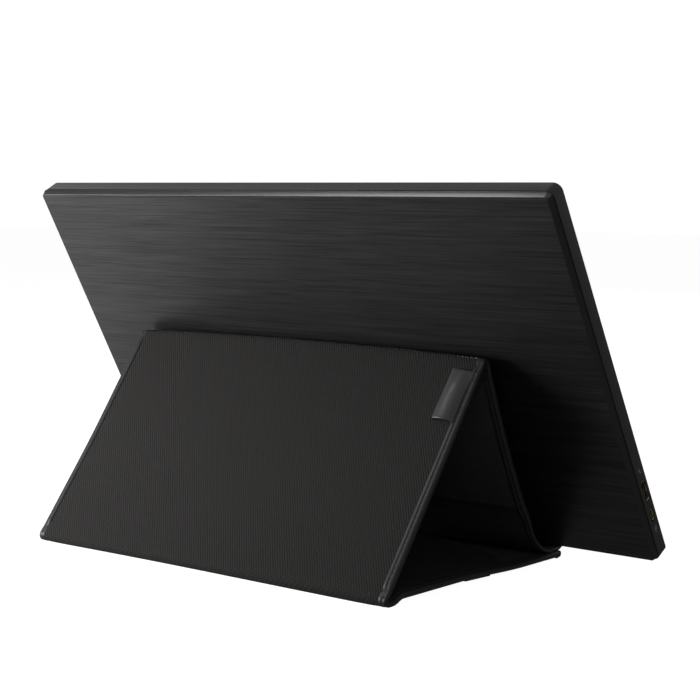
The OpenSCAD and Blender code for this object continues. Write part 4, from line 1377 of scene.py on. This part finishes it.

# %% [markdown]
# ## Studio
#
# The photograph is a plain product shot: everything round the object is white, and the light
# is soft and comes mostly from the camera's left. The camera sees the floor and the world as
# white. Reflections see a dimmer floor that brightens to the left, because a glossy back that
# leans over the table mirrors exactly that; this brighter patch is a painted pool of light that
# the floor gives off itself, with no lamp on it. Matt surfaces get a plain, low level of air.

# %% Floor and world
SEEN_WHITE, SEEN_SHARE = 1.62, 0.6  # the white that the camera sees, and its share over the matt floor
# The floor's brightness in reflections, a painted pool of light that the floor gives off itself: it rises over
# each span of X by that pair of levels
NEAR_POOL = ((-0.14, 0.06), (0.12, 0.31))
FAR_POOL = ((0.20, 0.36), (0.0, 0.64))
# The world's brightness for matt surfaces and for reflections
AIR_LEVEL, ROOM_LEVEL = 0.034, 0.27


def white_floor():
    """A large floor that is nearly white to the camera and still takes a soft shadow."""
    size = 6.0
    corners = [(-size, -size, 0), (size, -size, 0), (size, size, 0), (-size, size, 0)]
    mesh = bpy.data.meshes.new("floor")
    mesh.from_pydata(corners, [], [(0, 1, 2, 3)])
    floor = bpy.data.objects.new("floor", mesh)
    floor.location.z = -0.0002
    bpy.context.scene.collection.objects.link(floor)
    material = bpy.data.materials.new("floor white")
    material.use_nodes = True
    tree = material.node_tree
    tree.nodes.clear()
    out = tree.nodes.new("ShaderNodeOutputMaterial")
    path = node(tree, "ShaderNodeLightPath")
    spot = node(tree, "ShaderNodeSeparateXYZ", in_0=node(tree, "ShaderNodeTexCoord").outputs["Object"])
    levels = []
    for span, level in (NEAR_POOL, FAR_POOL):
        ramp = node(tree, "ShaderNodeMapRange", interpolation_type="SMOOTHSTEP", in_Value=spot.outputs[0])
        ramp.inputs["From Min"].default_value, ramp.inputs["From Max"].default_value = span
        ramp.inputs["To Min"].default_value, ramp.inputs["To Max"].default_value = level
        levels.append(ramp.outputs[0])
    matt = node(tree, "ShaderNodeBsdfDiffuse", in_Color=(0.80, 0.80, 0.80, 1))
    white = node(tree, "ShaderNodeEmission", in_Strength=SEEN_WHITE)
    # Painted pool of light: the floor glows for reflections, brighter towards +X
    pool = node(tree, "ShaderNodeEmission", in_Strength=maths(tree, "ADD", *levels))
    camera_view = node(tree, "ShaderNodeMixShader", in_0=SEEN_SHARE, in_1=matt.outputs[0], in_2=white.outputs[0])
    mirrored = maths(tree, "MAXIMUM", path.outputs["Is Glossy Ray"], path.outputs["Is Transmission Ray"])
    mix = node(tree, "ShaderNodeMixShader", in_0=mirrored, in_1=matt.outputs[0], in_2=pool.outputs[0])
    final = node(tree, "ShaderNodeMixShader", in_0=path.outputs["Is Camera Ray"], in_1=mix.outputs[0],
                 in_2=camera_view.outputs[0])
    tree.links.new(final.outputs[0], out.inputs[0])
    mesh.materials.append(material)
    return floor


floor = white_floor()
world = bpy.data.worlds.new("studio")
bpy.context.scene.world = world
world.use_nodes = True
tree = world.node_tree
tree.nodes.clear()
out = tree.nodes.new("ShaderNodeOutputWorld")
path = node(tree, "ShaderNodeLightPath")
seen = maths(tree, "MAXIMUM", path.outputs["Is Camera Ray"], path.outputs["Is Transmission Ray"])
strength = maths(tree, "MULTIPLY_ADD", seen, 1.02 - AIR_LEVEL, AIR_LEVEL)
strength = maths(tree, "MULTIPLY_ADD", path.outputs["Is Glossy Ray"], ROOM_LEVEL - AIR_LEVEL, strength)
sky = node(tree, "ShaderNodeBackground", in_Color=(1, 1, 1, 1), in_Strength=strength)
tree.links.new(sky.outputs[0], out.inputs[0])


print("floor and world ready")


# %% Lamps
def aimed(direction):
    """Rotation that turns -Z to a direction, with Y as near to up as it can be."""
    return Vector(direction).to_track_quat("-Z", "Y").to_euler()


def soft_box(name, place, aim, size, watts):
    """A rectangular area lamp that looks from place to aim, both in metres."""
    lamp = bpy.data.lights.new(name, "AREA")
    lamp.shape = "RECTANGLE"
    lamp.size, lamp.size_y = size
    lamp.energy = watts
    holder = bpy.data.objects.new(name, lamp)
    bpy.context.scene.collection.objects.link(holder)
    holder.location = place
    holder.rotation_euler = aimed(np.asarray(aim, float) - place)
    return holder


CENTRE = (0, 0, 0.1)
soft_box("overhead", (-0.05, 0.75, 1.5), CENTRE, (0.7, 0.5), 1.3)
# The streak lamp only makes the bright line on the case's bevel, so matt surfaces don't take its light
streak = soft_box("streak", (0.45, 0.15, 0.95), CENTRE, (0.4, 0.3), 4.3)
streak.visible_diffuse = False
soft_box("left_close", (0.5, 0.45, 0.13), (0.03, 0.03, 0.05), (0.4, 0.2), 5.2)
soft_box("far_left", (1.6, -0.2, 0.8), CENTRE, (1.0, 1.0), 1.6)
soft_box("back_right", (-1.2, 0.9, 0.9), CENTRE, (1.0, 1.0), 2.2)
soft_box("front_fill", (0.2, -1.8, 1.2), CENTRE, (1.8, 1.2), 12)
print("studio ready")

# %% [markdown]
# ## Camera
#
# A camera was fitted to the case's edges in the photograph. Its optical axis meets the picture
# left of the middle, because the photograph was cropped, and that is what the small shift says.

# %% Camera
FOCAL_PX, PICTURE_PX = 1745.04, 700.0  # focal length and picture size, in pixels
AXIS_PX = (287.49, 320.78)             # where the optical axis meets the picture
SENSOR = 36.0                          # in millimetres
CAMERA_PLACE, CAMERA_LOOK = (-0.669852, 0.769414, 0.215352), (0.658508, -0.748494, -0.078259)
camera_data = bpy.data.cameras.new("camera")
camera_data.sensor_width = SENSOR
camera_data.lens = FOCAL_PX / PICTURE_PX * SENSOR
camera_data.shift_x = (PICTURE_PX / 2 - AXIS_PX[0]) / PICTURE_PX
camera_data.shift_y = (AXIS_PX[1] - PICTURE_PX / 2) / PICTURE_PX
camera_data.clip_start, camera_data.clip_end = 0.05, 50
camera = bpy.data.objects.new("camera", camera_data)
bpy.context.scene.collection.objects.link(camera)
camera.location = CAMERA_PLACE
camera.rotation_euler = aimed(CAMERA_LOOK)
bpy.context.scene.camera = camera
bpy.context.scene.view_settings.view_transform = "Standard"
print("lens", round(camera_data.lens, 2), "mm, shift", round(camera_data.shift_x, 4),
      round(camera_data.shift_y, 4))
